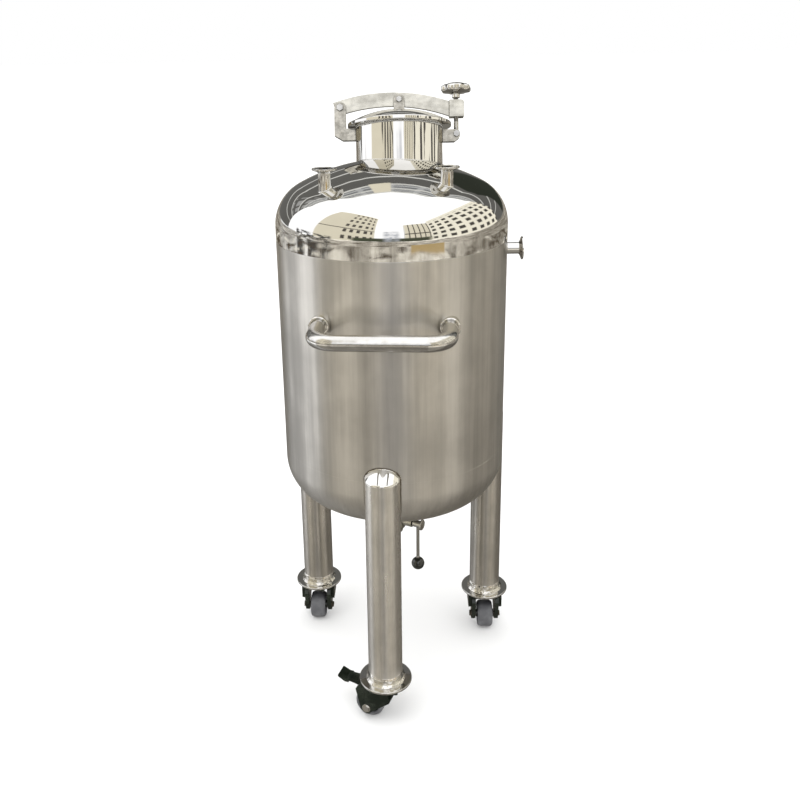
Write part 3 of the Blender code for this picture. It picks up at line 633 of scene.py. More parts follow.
def make_vessel():
    port_holes = [rod(PORT_BORE, 1.10, 1.22, TANK @ moved(x, y, 0)) for x, y in PORT_PLACES.values()]
    top = raised(head_curve(0, 56, 36), TOP_TANGENT)
    top += [
        (SHELL_RADIUS, TOP_SEAM + SEAM_WIDTH), (SHELL_RADIUS - SEAM_DEPTH, TOP_SEAM),
        (SHELL_RADIUS - WALL, TOP_SEAM),
    ]
    top += raised(head_curve(WALL, 20, 12), TOP_TANGENT)[::-1]
    neck_hole = rod(NECK_BORE, -0.09, 0.06, NECK, MEDIUM)
    vessel_piece("head_top", top, "mirror_steel", ["top_head"], [neck_hole, *port_holes])
    wall = [
        (SHELL_RADIUS - SEAM_DEPTH, TOP_SEAM), (SHELL_RADIUS, TOP_SEAM - SEAM_WIDTH),
        (SHELL_RADIUS, BOTTOM_SEAM + SEAM_WIDTH), (SHELL_RADIUS - SEAM_DEPTH, BOTTOM_SEAM),
        (SHELL_RADIUS - WALL, BOTTOM_SEAM), (SHELL_RADIUS - WALL, TOP_SEAM),
    ]
    side_hole = rod(PORT_BORE, 0.20, 0.30, SIDE_PORT)
    vessel_piece("shell", wall, "satin_steel", ["shell_wall"], [side_hole], closed=True)
    bottom = lowered(head_curve(WALL, 20, 12), BOTTOM_TANGENT)
    bottom += [
        (SHELL_RADIUS - WALL, BOTTOM_SEAM), (SHELL_RADIUS - SEAM_DEPTH, BOTTOM_SEAM),
        (SHELL_RADIUS, BOTTOM_SEAM - SEAM_WIDTH),
    ]
    bottom += lowered(head_curve(0, 40, 28), BOTTOM_TANGENT)[::-1]
    outlet_hole = rod(NOZZLE_BORE, 0.40, 0.43, TANK)
    vessel_piece("head_bottom", bottom, "satin_steel", ["bottom_head"], [outlet_hole])


# Ports
def ferrule(name, face, end):
    """A ferrule with its gasket groove, from its face down to the tube's end."""
    return hoop(name, [
        (FERRULE_RADIUS, face, 0.0004), (FERRULE_RADIUS, face - FERRULE_THICKNESS, 0.0005),
        (PORT_TUBE + 0.004, face - 0.0060, 0.002), (PORT_TUBE, face - 0.0085, 0.002),
        (PORT_TUBE, end), (PORT_BORE, end), (PORT_BORE, face, 0.0004), (0.0192, face, 0.0002),
        (0.0197, face - 0.0011, 0.0004), (0.0216, face - 0.0011, 0.0004), (0.0221, face, 0.0002),
    ])


def port_weld(name, loop):
    return sweep(name, loop, 0.0016, ripple=0.05, pitch=0.0026)


def make_ports():
    for side, (x, y) in PORT_PLACES.items():
        port = ferrule(f"ferrule_{side}", PORT_TOP, 1.12)
        trimmed(port, TANK @ moved(x, y, 0))
        show(port, "mirror_steel", nodes=[f"port_{side}"])
        loop = []
        for point in circle(PORT_TUBE + 0.0003):
            place = Vector((x, y, 0)) + point
            place.z = TOP_TANGENT + head_height(math.hypot(place.x, place.y)) + 0.0001
            loop.append(place)
        show(port_weld(f"port_weld_{side}", loop), "mirror_steel", place=TANK, sharp=0)
    port = ferrule("ferrule_side", SIDE_PORT_END, 0.22)
    trimmed(port, SIDE_PORT)
    show(port, "mirror_steel", nodes=["side_port"])
    loop = []
    for point in circle(PORT_TUBE + 0.0003):
        reach = math.sqrt(SHELL_RADIUS**2 - point.y**2)
        loop.append(Vector((reach, point.y, SIDE_PORT_Z + point.x)))
    show(port_weld("side_port_weld", loop), "satin_steel", place=TANK, sharp=0)


# The handhole
def neck_foot_loop():
    """Where the neck's outside meets the dome, in the part's frame."""
    sphere = Vector((AXIS_X, AXIS_Y, TOP_TANGENT - CROWN_DROP))
    along = NECK.col[2].xyz
    loop = []
    for point in circle(NECK_RADIUS, 180):
        offset = NECK @ point - sphere
        half = offset.dot(along)
        height = -half + math.sqrt(half**2 - offset.length_squared + CROWN_RADIUS**2)
        loop.append(NECK @ (point + Vector((0, 0, height))))
    return loop


def make_neck():
    edge = 0.0004
    outer = [(NECK_RADIUS, NECK_TOP, edge), (NECK_RADIUS, NECK_FOOT)]
    inner = [(NECK_BORE, NECK_FOOT), (NECK_BORE, NECK_TOP, edge)]
    neck = hoop("neck_tube", outer + inner, FINE)
    trimmed(neck, NECK)
    show(neck, "mirror_steel", nodes=["neck"], sharp=12)
    bead = sweep("neck_weld", neck_foot_loop(), 0.0014, ripple=0.042, pitch=0.00315)
    show(bead, "mirror_steel", sharp=0)
    top = LID_BOTTOM - GAP
    bottom = NECK_TOP + GAP
    corners = ((GASKET_OUTER, top), (GASKET_OUTER, bottom), (GASKET_INNER, bottom), (GASKET_INNER, top))
    ring = hoop("lid_gasket", [(radius, height, 0.00063) for radius, height in corners], FINE)
    show(ring, "gasket_rubber", place=NECK, nodes=["neck_gasket"])


def lid_height(radius, inset=0.0):
    rise = LID_APEX - LID_DOME_FOOT
    dome = (LID_DOME_RADIUS**2 + rise**2) / (2 * rise)
    return LID_APEX - dome + math.sqrt((dome - inset) ** 2 - radius**2)


def make_lid():
    outer = []
    for i in range(41):
        radius = LID_DOME_RADIUS * i / 40
        outer.append((radius, lid_height(radius)))
    rim = eased([
        outer[-1],
        (LID_RADIUS - 0.00126, LID_DOME_FOOT - 0.00105, 0.00158),
        (LID_RADIUS, LID_DOME_FOOT - 0.00262, 0.00126), (LID_RADIUS, LID_BOTTOM + 0.00094, 0.00105),
        (LID_RADIUS - 0.00095, LID_BOTTOM, 0.00105), (LID_OPENING, LID_BOTTOM),
    ])
    inner = []
    for i in range(16, -1, -1):
        radius = LID_OPENING * i / 16
        inner.append((radius, lid_height(radius, LID_SHEET)))
    lid = lathe("lid_dome", outer[:-1] + rim + inner, FINE)
    show(lid, "mirror_steel", nodes=["lid"], place=LID, sharp=30)


def make_clamp():
    for name, node, slot, width, look in (
        ("arm", "clamp_arm", "cast_steel", 0.0016, "cast_steel"),
        ("lug", "lid_lug", "cast_steel", 0.0014, "bracket_steel"),
        ("hinge", "hinge_bracket", "cast_steel", 0.0014, "bracket_steel"),
        ("latch", "latch_bracket", "cast_steel", 0.0014, "bracket_steel"),
        ("lug_bolt", "lid_pin", "bolt_steel", 0.0009, "bolt_steel"),
        ("hinge_bolt", "hinge_pin", "bolt_steel", 0.0010, "bolt_steel"),
        ("latch_bolt", "swing_pin", "bolt_steel", 0.0010, "bolt_steel"),
    ):
        show(softened(copied(name, node), width), slot, nodes=[node], look=look)


def lobed(radius, angle):
    depth = 0.00231 * min(1, radius / KNOB_RADIUS) ** 3
    return radius - depth * (1 - math.cos(KNOB_LOBES * (angle - KNOB_TURN)))


def make_knob():
    top = KNOB_TOP
    bottom = KNOB_BOTTOM
    profile = eased([
        (0, top), (KNOB_RADIUS * 0.45, top - 0.0010, 0.010),
        (KNOB_RADIUS * 0.80, top - 0.0042, 0.012), (KNOB_RADIUS, top - 0.0085, 0.006),
        (KNOB_RADIUS, bottom + 0.0042, 0.003), (KNOB_RADIUS - 0.0020, bottom + 0.0008, 0.003),
        (KNOB_RADIUS * 0.60, bottom, 0.004), (0.0130, bottom - 0.0014, 0.003),
        (HUB_RADIUS, bottom - 0.0050, 0.003), (HUB_RADIUS, HUB_BOTTOM, 0.0008),
        (HUB_BORE, HUB_BOTTOM, 0.0003), (HUB_BORE, top - 0.0058), (0, top - 0.0058),
    ], count=6)
    knob = lathe("hand_wheel", profile, 192, sides=lobed)
    show(knob, "mirror_steel", "hand_knob", ["knob"], SWING, sharp=50, look="tube_steel")


def make_swing_bolt():
    """The threaded stem and its eye, which turns on the latch bolt."""
    tip = KNOB_TOP - 0.0063
    bottom = SWING_Z + 0.0063
    shoulder = tip - 0.00105
    turns = []
    for k in range(int((shoulder - THREAD_START) / THREAD_PITCH)):
        low = THREAD_START + THREAD_PITCH * k
        turns.append((THREAD_RADIUS, low))
        turns.append((THREAD_RADIUS, low + THREAD_PITCH * 0.21))
        turns.append((THREAD_ROOT, low + THREAD_PITCH * 0.63))
    foot = [(0, bottom), (THREAD_RADIUS, bottom)]
    end = [(THREAD_RADIUS, shoulder), (0.00441, tip), (0, tip)]
    show(lathe("stem", foot + turns + end, 48), "bolt_steel", "swing_bolt", ["swing_bolt"], SWING, sharp=50)
    half = 0.00525
    outer = [(EYE_RADIUS, half, 0.00105), (EYE_RADIUS, -half, 0.00105)]
    inner = [(EYE_BORE, -half, 0.00042), (EYE_BORE, half, 0.00042)]
    place = SWING @ moved(0, 0, SWING_Z) @ ALONG_Y
    eye = hoop("stem_eye", outer + inner, SMALL)
    show(eye, "bolt_steel", "swing_bolt", (), place)


# The handle
def make_handle():
    inside = -0.17
    bend = HANDLE_BEND
    left = arc((-HANDLE_HALF_SPAN + bend, -HANDLE_REACH + bend), bend, 180, 270, 20)
    right = arc((HANDLE_HALF_SPAN - bend, -HANDLE_REACH + bend), bend, 270, 360, 20)
    route = [(-HANDLE_HALF_SPAN, inside), *left, *right, (HANDLE_HALF_SPAN, inside)]
    points = [Vector((x, y, 0)) for x, y in route]
    handle = sweep("handle_tube", points, HANDLE_RADIUS, 64, closed=False, facing=Vector((0, 0, 1)))
    trimmed(handle, HANDLE)
    show(handle, "mirror_steel", nodes=["handle"], sharp=50, look="tube_steel")
    outline = [
        (ROSETTE_RADIUS - 0.0015, ROSETTE_FACE, 0.001), (ROSETTE_RADIUS, ROSETTE_FACE - 0.0015, 0.001),
        (ROSETTE_RADIUS, ROSETTE_FACE - 0.0070, 0.001),
        (ROSETTE_RADIUS - 0.0025, ROSETTE_FACE - 0.0085, 0.001), (ROSETTE_RADIUS - 0.0025, 0.17),
        (HANDLE_RADIUS, 0.17), (HANDLE_RADIUS, ROSETTE_FACE, 0.0008),
    ]
    for side, x in (("left", -HANDLE_HALF_SPAN), ("right", HANDLE_HALF_SPAN)):
        collar = hoop(f"collar_{side}", outline)
        trimmed(collar, HANDLE @ moved(x, 0, 0) @ ALONG_Y)
        show(collar, "mirror_steel", nodes=[f"handle_rosette_{side}"], look="weld_steel")


# The legs
def leg_top(out, across):
    """How far a leg's arched top lies below its middle, at a place on its section."""
    return LEG_TOP_SLOPE * out + LEG_TOP_ARCH * (across / LEG_RADIUS) ** 2


def slanted(name, rings):
    """Rings of (radius, height, share of the top's fall) about local Z, falling along local X."""
    work = bmesh.new()
    made = []
    for radius, height, share in rings:
        if radius < 1e-6:
            made.append([work.verts.new((0, 0, height))])
            continue
        ring = []
        for k in range(FINE):
            angle = math.tau * k / FINE
            x, y = radius * math.cos(angle), radius * math.sin(angle)
            ring.append(work.verts.new((x, y, height - share * leg_top(x, y))))
        made.append(ring)
    skin(work, made, False)
    return mesh_from(name, work)


def weld_loop(side):
    """The seam between a leg and the vessel, in the tank's own frame."""
    centre, turn = leg_centre(side)
    meet = math.acos(-LEG_RADIUS / (2 * SHELL_RADIUS))
    loop = []
    for k in range(91):
        angle = turn + meet + (math.tau - 2 * meet) * k / 90
        point = centre + polar(LEG_RADIUS, angle)
        radius = min(math.hypot(point.x, point.y), SHELL_RADIUS)
        point.z = BOTTOM_TANGENT - head_height(radius)
        loop.append(point)
    high = LEG_TOP - leg_top(-(LEG_RADIUS**2) / (2 * SHELL_RADIUS), LEG_RADIUS)
    rise = [BOTTOM_TANGENT + (high - BOTTOM_TANGENT) * k / 30 for k in range(1, 31)]
    first, last = loop[0].copy(), loop[-1].copy()
    loop += [Vector((last.x, last.y, z)) for z in rise]
    end = math.atan2(last.y, last.x)
    begin = math.atan2(first.y, first.x)
    way = (begin - end + math.pi) % math.tau - math.pi
    for k in range(1, 24):
        point = polar(SHELL_RADIUS, end + way * k / 24)
        out = (point - centre).dot(centre.normalized())
        across = min(math.sqrt(max((point - centre).length_squared - out**2, 0)), LEG_RADIUS)
        point.z = LEG_TOP - leg_top(out, across)
        loop.append(point)
    loop += [Vector((first.x, first.y, z)) for z in rise[::-1]]
    for _ in range(12):
        count = len(loop)
        loop = [(loop[i - 1] + loop[i] * 2 + loop[(i + 1) % count]) / 4 for i in range(count)]
    return loop


def weld_edge(side, loop):
    """The weld's dark edge, heat tint with painted shade along the undercut: on the leg beside it, and on
    the vessel above it.
    """
    centre = leg_centre(side)[0]
    outward = centre.normalized()
    line = []
    for point in loop:
        offset = point - centre
        across = Vector((offset.x, offset.y, 0)) - outward * offset.dot(outward)
        share = min(across.length / LEG_RADIUS, 1) ** 6
        place = point + outward * LEG_TINT_SHADE_OUT * share
        place.z += LEG_TINT_SHADE_UP * (1 - share) * (1 if point.z > BOTTOM_SEAM else -0.3)
        line.append(place)
    return line


def hand_ground(radius, angle):
    """A band that was ground by hand, a little uneven round its turn."""
    radius += 0.00022 * math.sin(7 * angle)
    radius += 0.00016 * math.sin(11 * angle + 2)
    return radius + 0.0001 * math.sin(19 * angle)


def make_leg(side):
    place = leg_frame(side) @ turned(leg_centre(side)[1], "Z")
    low = LEG_TOP - LEG_CAP
    tube = [(0, DISC_TOP, 0), (LEG_RADIUS, DISC_TOP, 0), (LEG_RADIUS, 0.3, 0), (LEG_RADIUS, 0.5, 0)]
    tube += [(LEG_RADIUS, low, 1), (0, low, 1)]
    leg = slanted(f"leg_tube_{side}", tube)
    trimmed(leg, place)
    # The front leg takes the brighter copy of the leg steel, as painted light.
    look = "lit_front_leg_steel" if side == "front" else "leg_steel"
    show(leg, "leg_steel", nodes=[f"leg_{side}"], sharp=40, look=look)
    rings = [(0, low, 1), (LEG_RADIUS, low, 1)]
    for k in range(7):
        angle = math.radians(90 * k / 6)
        radius = LEG_RADIUS - LEG_CAP_EDGE * (1 - math.cos(angle))
        rings.append((radius, LEG_TOP - LEG_CAP_EDGE * (1 - math.sin(angle)), 1))
    for k in range(1, 9):
        radius = (LEG_RADIUS - LEG_CAP_EDGE) * (1 - k / 8)
        rings.append((radius, LEG_TOP + LEG_CAP_CROWN * (1 - (radius / LEG_RADIUS) ** 2), 1))
    cap = slanted(f"leg_cap_{side}", rings)
    trimmed(cap, place)
    show(cap, "mirror_steel", nodes=[f"leg_{side}"], sharp=40)
    loop = weld_loop(side)
    bead = sweep(f"leg_weld_{side}", loop, LEG_WELD, ripple=0.02, pitch=0.005)
    show(bead, "satin_steel", place=TANK, sharp=0, look="weld_steel")
    # A dark line beside the weld bead: heat tint with painted shade.
    edge = sweep(f"leg_weld_edge_{side}", weld_edge(side, loop), LEG_TINT_SHADE, sides=10)
    show(edge, "satin_steel", place=TANK, sharp=0, look="tinted_and_shaded_steel")


def make_foot(side):
    top = DISC_TOP + FOOT_WELD_HEIGHT
    band = [
        (LEG_RADIUS - 0.001, top), (LEG_RADIUS + 0.0001, top, 0.001),
        (LEG_RADIUS + 0.0016, DISC_TOP + FOOT_WELD_HEIGHT * 0.72, 0.005),
        (LEG_RADIUS + 0.0016, DISC_TOP + 0.0060, 0.003),
        (LEG_RADIUS + 0.0064, DISC_TOP + 0.0002, 0.003),
        (LEG_RADIUS + 0.0064, DISC_TOP - 0.001), (LEG_RADIUS - 0.001, DISC_TOP - 0.001),
    ]
    weld = hoop(f"foot_weld_{side}", band, FINE, hand_ground)
    show(weld, "mirror_steel", place=leg_frame(side), look="weld_steel")
    low = DISC_TOP - DISC_THICKNESS
    disc = eased([(0, DISC_TOP), (DISC_RADIUS, DISC_TOP, 0.0012), (DISC_RADIUS, low, 0.0012), (0, low)])
    foot = lathe(f"foot_{side}", disc, FINE)
    show(foot, "mirror_steel", nodes=[f"foot_disc_{side}"], place=leg_frame(side))


# The casters
def hex_head(name, radius, thickness, place, body):
    """A hexagon head with its round chamfer."""
    obj = lathe(name, [(0, 0), (radius, 0), (radius, thickness), (0, thickness)], 6)
    wide = radius * 1.02
    narrow = radius * math.cos(math.radians(30)) * 0.93
    outline = [(0, -0.001), (wide, -0.001), (wide, thickness * 0.62), (narrow, thickness), (0, thickness)]
    chamfer = lathe(name + "_round", outline, 48)
    cut(obj, chamfer, operation="INTERSECT")
    show(softened(obj, 0.00025, 2), "bolt_steel", body, (), place)


def flipped(points):
    """The points turned over to the other side of height zero, in the other order."""
    return [(radius, -height, *rest) for radius, height, *rest in points[::-1]]


def make_wheel(side):
    body = f"{side}_wheel"
    place = axle_frame(side)
    half = WHEEL_HALF_WIDTH
    tyre = [
        (WHEEL_RADIUS, 0.0112, 0.004), (WHEEL_RADIUS - 0.0010, 0.0150, 0.003),
        (WHEEL_RADIUS - 0.0045, half, 0.003), (0.0245, half - 0.0006, 0.001),
        (0.0232, half - 0.0030, 0.001), (0.0232, 0.0),
    ]
    obj = hoop(f"tyre_{side}", tyre + flipped(tyre[:-1]), 128)
    show(obj, "tyre_rubber", body, [f"wheel_{side}"], place, sharp=40)
    hub = [
        (0.0231, 0.0146, 0.001), (0.0200, 0.0142, 0.001), (0.0180, 0.0118, 0.002),
        (0.0125, 0.0118, 0.002), (0.0105, 0.0150, 0.002), (0.0098, HUB_HALF_WIDTH, 0.0006),
        (0.0046, HUB_HALF_WIDTH),
    ]
    obj = hoop(f"hub_{side}", hub[::-1] + flipped(hub)[::-1])
    show(obj, "black_paint", body, [f"wheel_{side}"], place)


def make_caster(side):
    body = f"caster_{side}"
    swivel = swivel_frame(side)
    mount = softened(copied(f"mount_{side}", f"caster_plate_{side}"), 0.0007)
    show(mount, "black_paint", nodes=[f"caster_plate_{side}"])
    fork = softened(copied(f"yoke_{side}", f"fork_{side}"), 0.0016, 4)
    show(fork, "black_paint", body, [f"fork_{side}"], sharp=45)
    # Painted light: the rear casters' axle bolts and washers take a dark steel as painted shade, and the
    # front caster's a brighter steel as painted highlight.
    bolt_painted_light_look = "tube_steel" if side == "front" else "tinted_and_shaded_steel"
    bolt = softened(copied(f"axle_bolt_{side}", f"axle_{side}"), 0.0005)
    show(bolt, "bolt_steel", body, [f"axle_{side}"], look=bolt_painted_light_look)
    for sign in (-1, 1):
        place = swivel @ moved(TRAILS[side], sign * (CHEEK_OUTER + 0.0001), WHEEL_RADIUS)
        place = place @ turned(math.radians(-90 * sign), "X")
        name = f"washer_{side}_{'near' if sign < 0 else 'far'}"
        washer = hoop(name, [(0.0042, 0), (0.0098, 0), (0.0098, 0.0012, 0.0004), (0.0042, 0.0012)], SMALL)
        show(washer, "bolt_steel", body, (), place, look=bolt_painted_light_look)
    plate = leg_frame(side) @ turned(PLATE_HEADINGS[side], "Z")
    low = DISC_TOP - DISC_THICKNESS - GAP - 0.003
    for number, (x, y) in enumerate(((0.044, 0.022), (-0.044, 0.022), (-0.044, -0.022), (0.044, -0.022))):
        place = plate @ moved(x, y, low) @ turned(math.pi, "X")
        hex_head(f"plate_nut_{side}_{number}", 0.0058, 0.0030, place, "tank")
    make_wheel(side)
    if side == "front":
        pedal = softened(copied("pedal", "brake_pedal"), 0.0009)
        show(pedal, "black_paint", "brake", ["brake_pedal"], sharp=45)


# The outlet
def make_outlet():
    face = NOZZLE_FACE
    nozzle = hoop("outlet_tube", [
        (NOZZLE_RADIUS, 0.45), (NOZZLE_RADIUS, face + 0.0085, 0.002),
        (NOZZLE_RADIUS + 0.0030, face + 0.0056, 0.002),
        (FERRULE_RADIUS, face + FERRULE_THICKNESS, 0.0005), (FERRULE_RADIUS, face, 0.0004),
        (NOZZLE_BORE, face), (NOZZLE_BORE, 0.45),
    ])
    trimmed(nozzle, TANK)
    show(nozzle, "satin_steel", nodes=["outlet_nozzle"])
    groove = FERRULE_RADIUS + 0.0004
    high = face + FERRULE_THICKNESS + 0.0004
    low = 2 * (face - GAP / 2) - high
    lip = NOZZLE_RADIUS + 0.0042
    ring = hoop("outlet_ring", [
        (0.0285, high + 0.0042, 0.001), (0.0302, high + 0.0022, 0.0015),
        (0.0302, low - 0.0022, 0.0015), (0.0285, low - 0.0042, 0.001),
        (lip, low - 0.0030, 0.0005), (groove, low, 0.0003), (groove, high, 0.0003),
        (lip, high + 0.0030, 0.0005),
    ])
    show(ring, "cast_steel", nodes=["outlet_clamp"], place=TANK)
    face -= GAP
    profile = eased([
        (0, 0.364), (NOZZLE_BORE, 0.364), (NOZZLE_BORE, face), (FERRULE_RADIUS, face, 0.0004),
        (FERRULE_RADIUS, face - FERRULE_THICKNESS, 0.0005),
        (NOZZLE_RADIUS + 0.0030, face - 0.0056, 0.001), (NOZZLE_RADIUS + 0.0010, VALVE_TOP, 0.001),
        (VALVE_RADIUS - 0.003, VALVE_TOP - 0.001, 0.001),
        (VALVE_RADIUS, VALVE_TOP - 0.004, 0.003), (VALVE_RADIUS, 0.345, 0.003),
        (0.0245, 0.339, 0.003), (NOZZLE_RADIUS, 0.335, 0.002),
        (NOZZLE_RADIUS, VALVE_FOOT, 0.0006), (NOZZLE_BORE, VALVE_FOOT), (NOZZLE_BORE, 0.354),
        (0, 0.354),
    ])
    show(lathe("valve_housing", profile, MEDIUM), "cast_steel", nodes=["valve_body"], place=TANK)
    outline = [(0.0056, 0.0255), (0.011, 0.0255), (0.011, 0.048, 0.0008), (0.0056, 0.048, 0.0003)]
    boss = hoop("stem_boss", outline, SMALL)
    show(boss, "cast_steel", nodes=["valve_body"], place=STEM @ ALONG_X)


def make_lever():
    profile = eased([
        (0, 0.0742), (0.0118, 0.0742, 0.001), (0.0130, 0.0730, 0.001), (0.0130, 0.0702, 0.0006),
        (0.0085, 0.0695, 0.0006), (0.0085, 0.0505, 0.0006), (0.0050, 0.0505), (0.0050, 0.0320),
        (0, 0.0320),
    ])
    show(lathe("lever_hub", profile, SMALL), "bolt_steel", "valve_lever", ["valve_stem"], STEM @ ALONG_X)
    ball = BALL_Z - STEM_Z
    place = STEM @ moved(LEVER_PLACE, 0, 0)
    rod_profile = eased([
        (0, ball + BALL_RADIUS - 0.002), (LEVER_ROD_RADIUS, ball + BALL_RADIUS - 0.002),
        (LEVER_ROD_RADIUS, ball + BALL_RADIUS + 0.004, 0.0003),
        (LEVER_ROD_RADIUS - 0.0004, ball + BALL_RADIUS + 0.0045, 0.0003),
        (LEVER_ROD_RADIUS - 0.0004, -0.008), (0, -0.008),
    ])
    show(lathe("lever_rod", rod_profile, 48), "bolt_steel", "valve_lever", ["valve_stem"], place)
    flat = math.asin((LEVER_ROD_RADIUS + 0.0012) / BALL_RADIUS)
    curve = []
    for k in range(33):
        angle = flat + (math.pi - flat) * k / 32
        curve.append((BALL_RADIUS * math.sin(angle), BALL_RADIUS * math.cos(angle)))
    curve[-1] = (0, -BALL_RADIUS)
    top = curve[0][1]
    socket = [(0, top - 0.004), (LEVER_ROD_RADIUS + 0.0003, top - 0.004), (LEVER_ROD_RADIUS + 0.0003, top)]
    knob = lathe("ball_knob", socket + curve, SMALL)
    place = place @ moved(0, 0, ball)
    show(knob, "black_ball", "valve_lever", ["lever_ball"], place, sharp=50)


make_vessel()
make_ports()
make_neck()
make_lid()
make_clamp()
make_knob()
make_swing_bolt()
make_handle()
for leg_side in LEG_ANGLES:
    make_leg(leg_side)
    make_foot(leg_side)
    make_caster(leg_side)
make_outlet()
make_lever()
bpy.data.objects.remove(OUTSIDE)


# The studio
def make_floor():
    """A wide pale floor. The steel mirrors the studio's own ground, so that no edge shows in it."""
    work = bmesh.new()
    bmesh.ops.create_grid(work, x_segments=8, y_segments=8, size=FLOOR_SIZE)
    floor = mesh_from("floor", work)
    made, tree, shader = new_material("floor", 0.0)
    cloud = tree.noise(tree.position(), (1.5,) * 3)
    tree.set(shader.inputs["Base Color"], tree.mix(cloud, (0.79, 0.79, 0.785), (0.82, 0.82, 0.815)))
    shader.inputs["Roughness"].default_value = 0.9
    shader.inputs["Specular IOR Level"].default_value = 0.0
    floor.data.materials.append(made)
    floor.visible_glossy = False


def stripe(tree, value, low, high, soft):
    """1 where the value lies between low and high, with soft edges."""
    rise = tree.between(value, low - soft, low + soft)
    fall = tree.between(value, high + soft, high - soft)
    return tree.times(rise, fall)


def panel(tree, way, face, edges, heights, soft):
    """How far a direction falls on an upright panel that faces a heading, and its place across and up."""
    x, y, z = way
    sine, cosine = math.sin(math.radians(face)), math.cos(math.radians(face))
    ahead = tree.math("ADD", tree.times(x, sine), tree.times(y, cosine))
    across = tree.math("SUBTRACT", tree.times(x, cosine), tree.times(y, sine))
    depth = tree.math("MAXIMUM", ahead, 0.02)
    u = tree.math("DIVIDE", across, depth)
    v = tree.math("DIVIDE", z, depth)
    mask = tree.between(ahead, 0.02, 0.06)
    mask = tree.times(mask, stripe(tree, u, *edges, soft))
    mask = tree.times(mask, stripe(tree, v, *heights, soft))
    return mask, u, v


def panes(tree, u, v, columns, rows, width, height):
    """A grid of panes on a panel."""
    across = tree.math("FRACT", tree.times(u, columns))
    up = tree.math("FRACT", tree.times(v, rows))
    first = stripe(tree, across, 0.5 - width / 2, 0.5 + width / 2, 0.04)
    return tree.times(first, stripe(tree, up, 0.5 - height / 2, 0.5 + height / 2, 0.04))


def tinted_ground(tree, heading, height, mottle, near):
    """The studio's ground: warm and pale behind the camera, darker beyond the object and underfoot."""
    behind = tree.math("ABSOLUTE", heading)
    colour = tree.mix(tree.between(behind, 45, 75), (0.34, 0.33, 0.30), (0.70, 0.66, 0.59))
    colour = tree.mix(tree.between(behind, 95, 115), colour, (2.1, 2.0, 1.8))
    colour = tree.mix(stripe(tree, heading, -102, -42, 8), colour, (1.62, 1.66, 1.70))
    colour = tree.mix(stripe(tree, heading, -98, -74, 3), colour, (3.4, 3.45, 3.5))
    colour = tree.mix(tree.between(height, -13, -30, 0.0, 0.85), colour, (0.13, 0.12, 0.10))
    shade = (0.15, 0.135, 0.12)
    for left, right, share in ((-181, -168, 0.68), (-161, -147, 0.52), (174, 181, 0.40)):
        colour = tree.mix(tree.times(stripe(tree, heading, left, right, 2), share), colour, shade)
    low = tree.times(stripe(tree, heading, 50, 108, 3), tree.between(height, -18, -21))
    colour = tree.mix(tree.times(low, 0.5), colour, shade)
    colour = tree.mix(tree.between(mottle, 0.40, 0.62, 0.0, 0.45), colour, shade)
    return tree.mix(tree.times(near, 0.62), colour, (0.40, 0.36, 0.29))


def tinted_walls(tree, way, heading, height):
    """The studio's upright panels, that the steel mirrors."""
    cream = (1.07, 1.0, 0.81)
    pane = (0.12, 0.11, 0.10)
    grey = (0.165, 0.163, 0.155)
    pale = (0.95, 0.95, 0.92)
    black = (0.04, 0.045, 0.035)
    colour = tree.mix(tree.between(height, 10, 50), (1.6, 1.61, 1.66), (1.8, 1.81, 1.84))
    left, u, v = panel(tree, way, -128, (-0.72, 0.55), (-0.4, 1.7), 0.02)
    lit = tree.times(panes(tree, u, v, 7, 3.6, 0.5, 0.5), stripe(tree, u, -0.66, -0.02, 0.01))
    lit = tree.math("MAXIMUM", lit, stripe(tree, v, 0.50, 0.53, 0.01))
    colour = tree.mix(left, colour, tree.mix(lit, cream, pane))
    middle, u, v = panel(tree, way, 155, (-0.28, 0.22), (-0.4, 0.80), 0.02)
    lit = tree.math("MAXIMUM", panes(tree, u, v, 11, 0.9, 0.22, 0.8), stripe(tree, v, 0.30, 0.34, 0.01))
    colour = tree.mix(middle, colour, tree.mix(lit, cream, pane))
    right, u, v = panel(tree, way, 100, (-1.2, 0.88), (-0.4, 1.15), 0.02)
    lit = tree.times(panes(tree, u, v, 4.6, 5.2, 0.56, 0.55), stripe(tree, v, 0.05, 1.02, 0.01))
    colour = tree.mix(right, colour, tree.mix(lit, (1.32, 1.26, 1.08), pane))
    canopy, u, v = panel(tree, way, 0, (-1.85, 1.45), (-0.4, 1.72), 0.02)
    lines = stripe(tree, v, 1.44, 1.50, 0.008)
    for low, high in ((1.20, 1.26), (1.64, 1.70), (0.86, 0.90), (0.50, 0.53), (0.28, 0.30)):
        lines = tree.math("MAXIMUM", lines, stripe(tree, v, low, high, 0.008))
    lights = tree.times(panes(tree, u, v, 3.2, 8.3, 0.8, 0.5), stripe(tree, v, 1.24, 1.70, 0.01))
    roof = tree.mix(stripe(tree, v, 1.22, 1.75, 0.01), grey, (0.62, 0.63, 0.64))
    roof = tree.mix(lights, roof, (0.24, 0.25, 0.26))
    side_light = tree.times(stripe(tree, u, -1.8, -0.75, 0.04), stripe(tree, v, 0.55, 1.7, 0.02))
    roof = tree.mix(tree.times(side_light, panes(tree, u, v, 2.3, 3.1, 0.7, 0.7)), roof, (0.5, 0.5, 0.5))
    roof = tree.mix(lines, roof, pale)
    cloth = tree.times(stripe(tree, u, -0.20, 0.0, 0.01), stripe(tree, v, 1.16, 1.66, 0.01))
    roof = tree.mix(cloth, roof, cream)
    shade_patch = tree.times(stripe(tree, u, 0.2, 0.75, 0.02), stripe(tree, v, -0.4, 0.75, 0.02))
    roof = tree.mix(shade_patch, roof, black)
    colour = tree.mix(canopy, colour, roof)
    behind = tree.math("ABSOLUTE", heading)
    hedge = tree.times(tree.between(behind, 138, 146), stripe(tree, height, -1, 8, 1.5))
    return tree.mix(hedge, colour, (0.10, 0.11, 0.075))


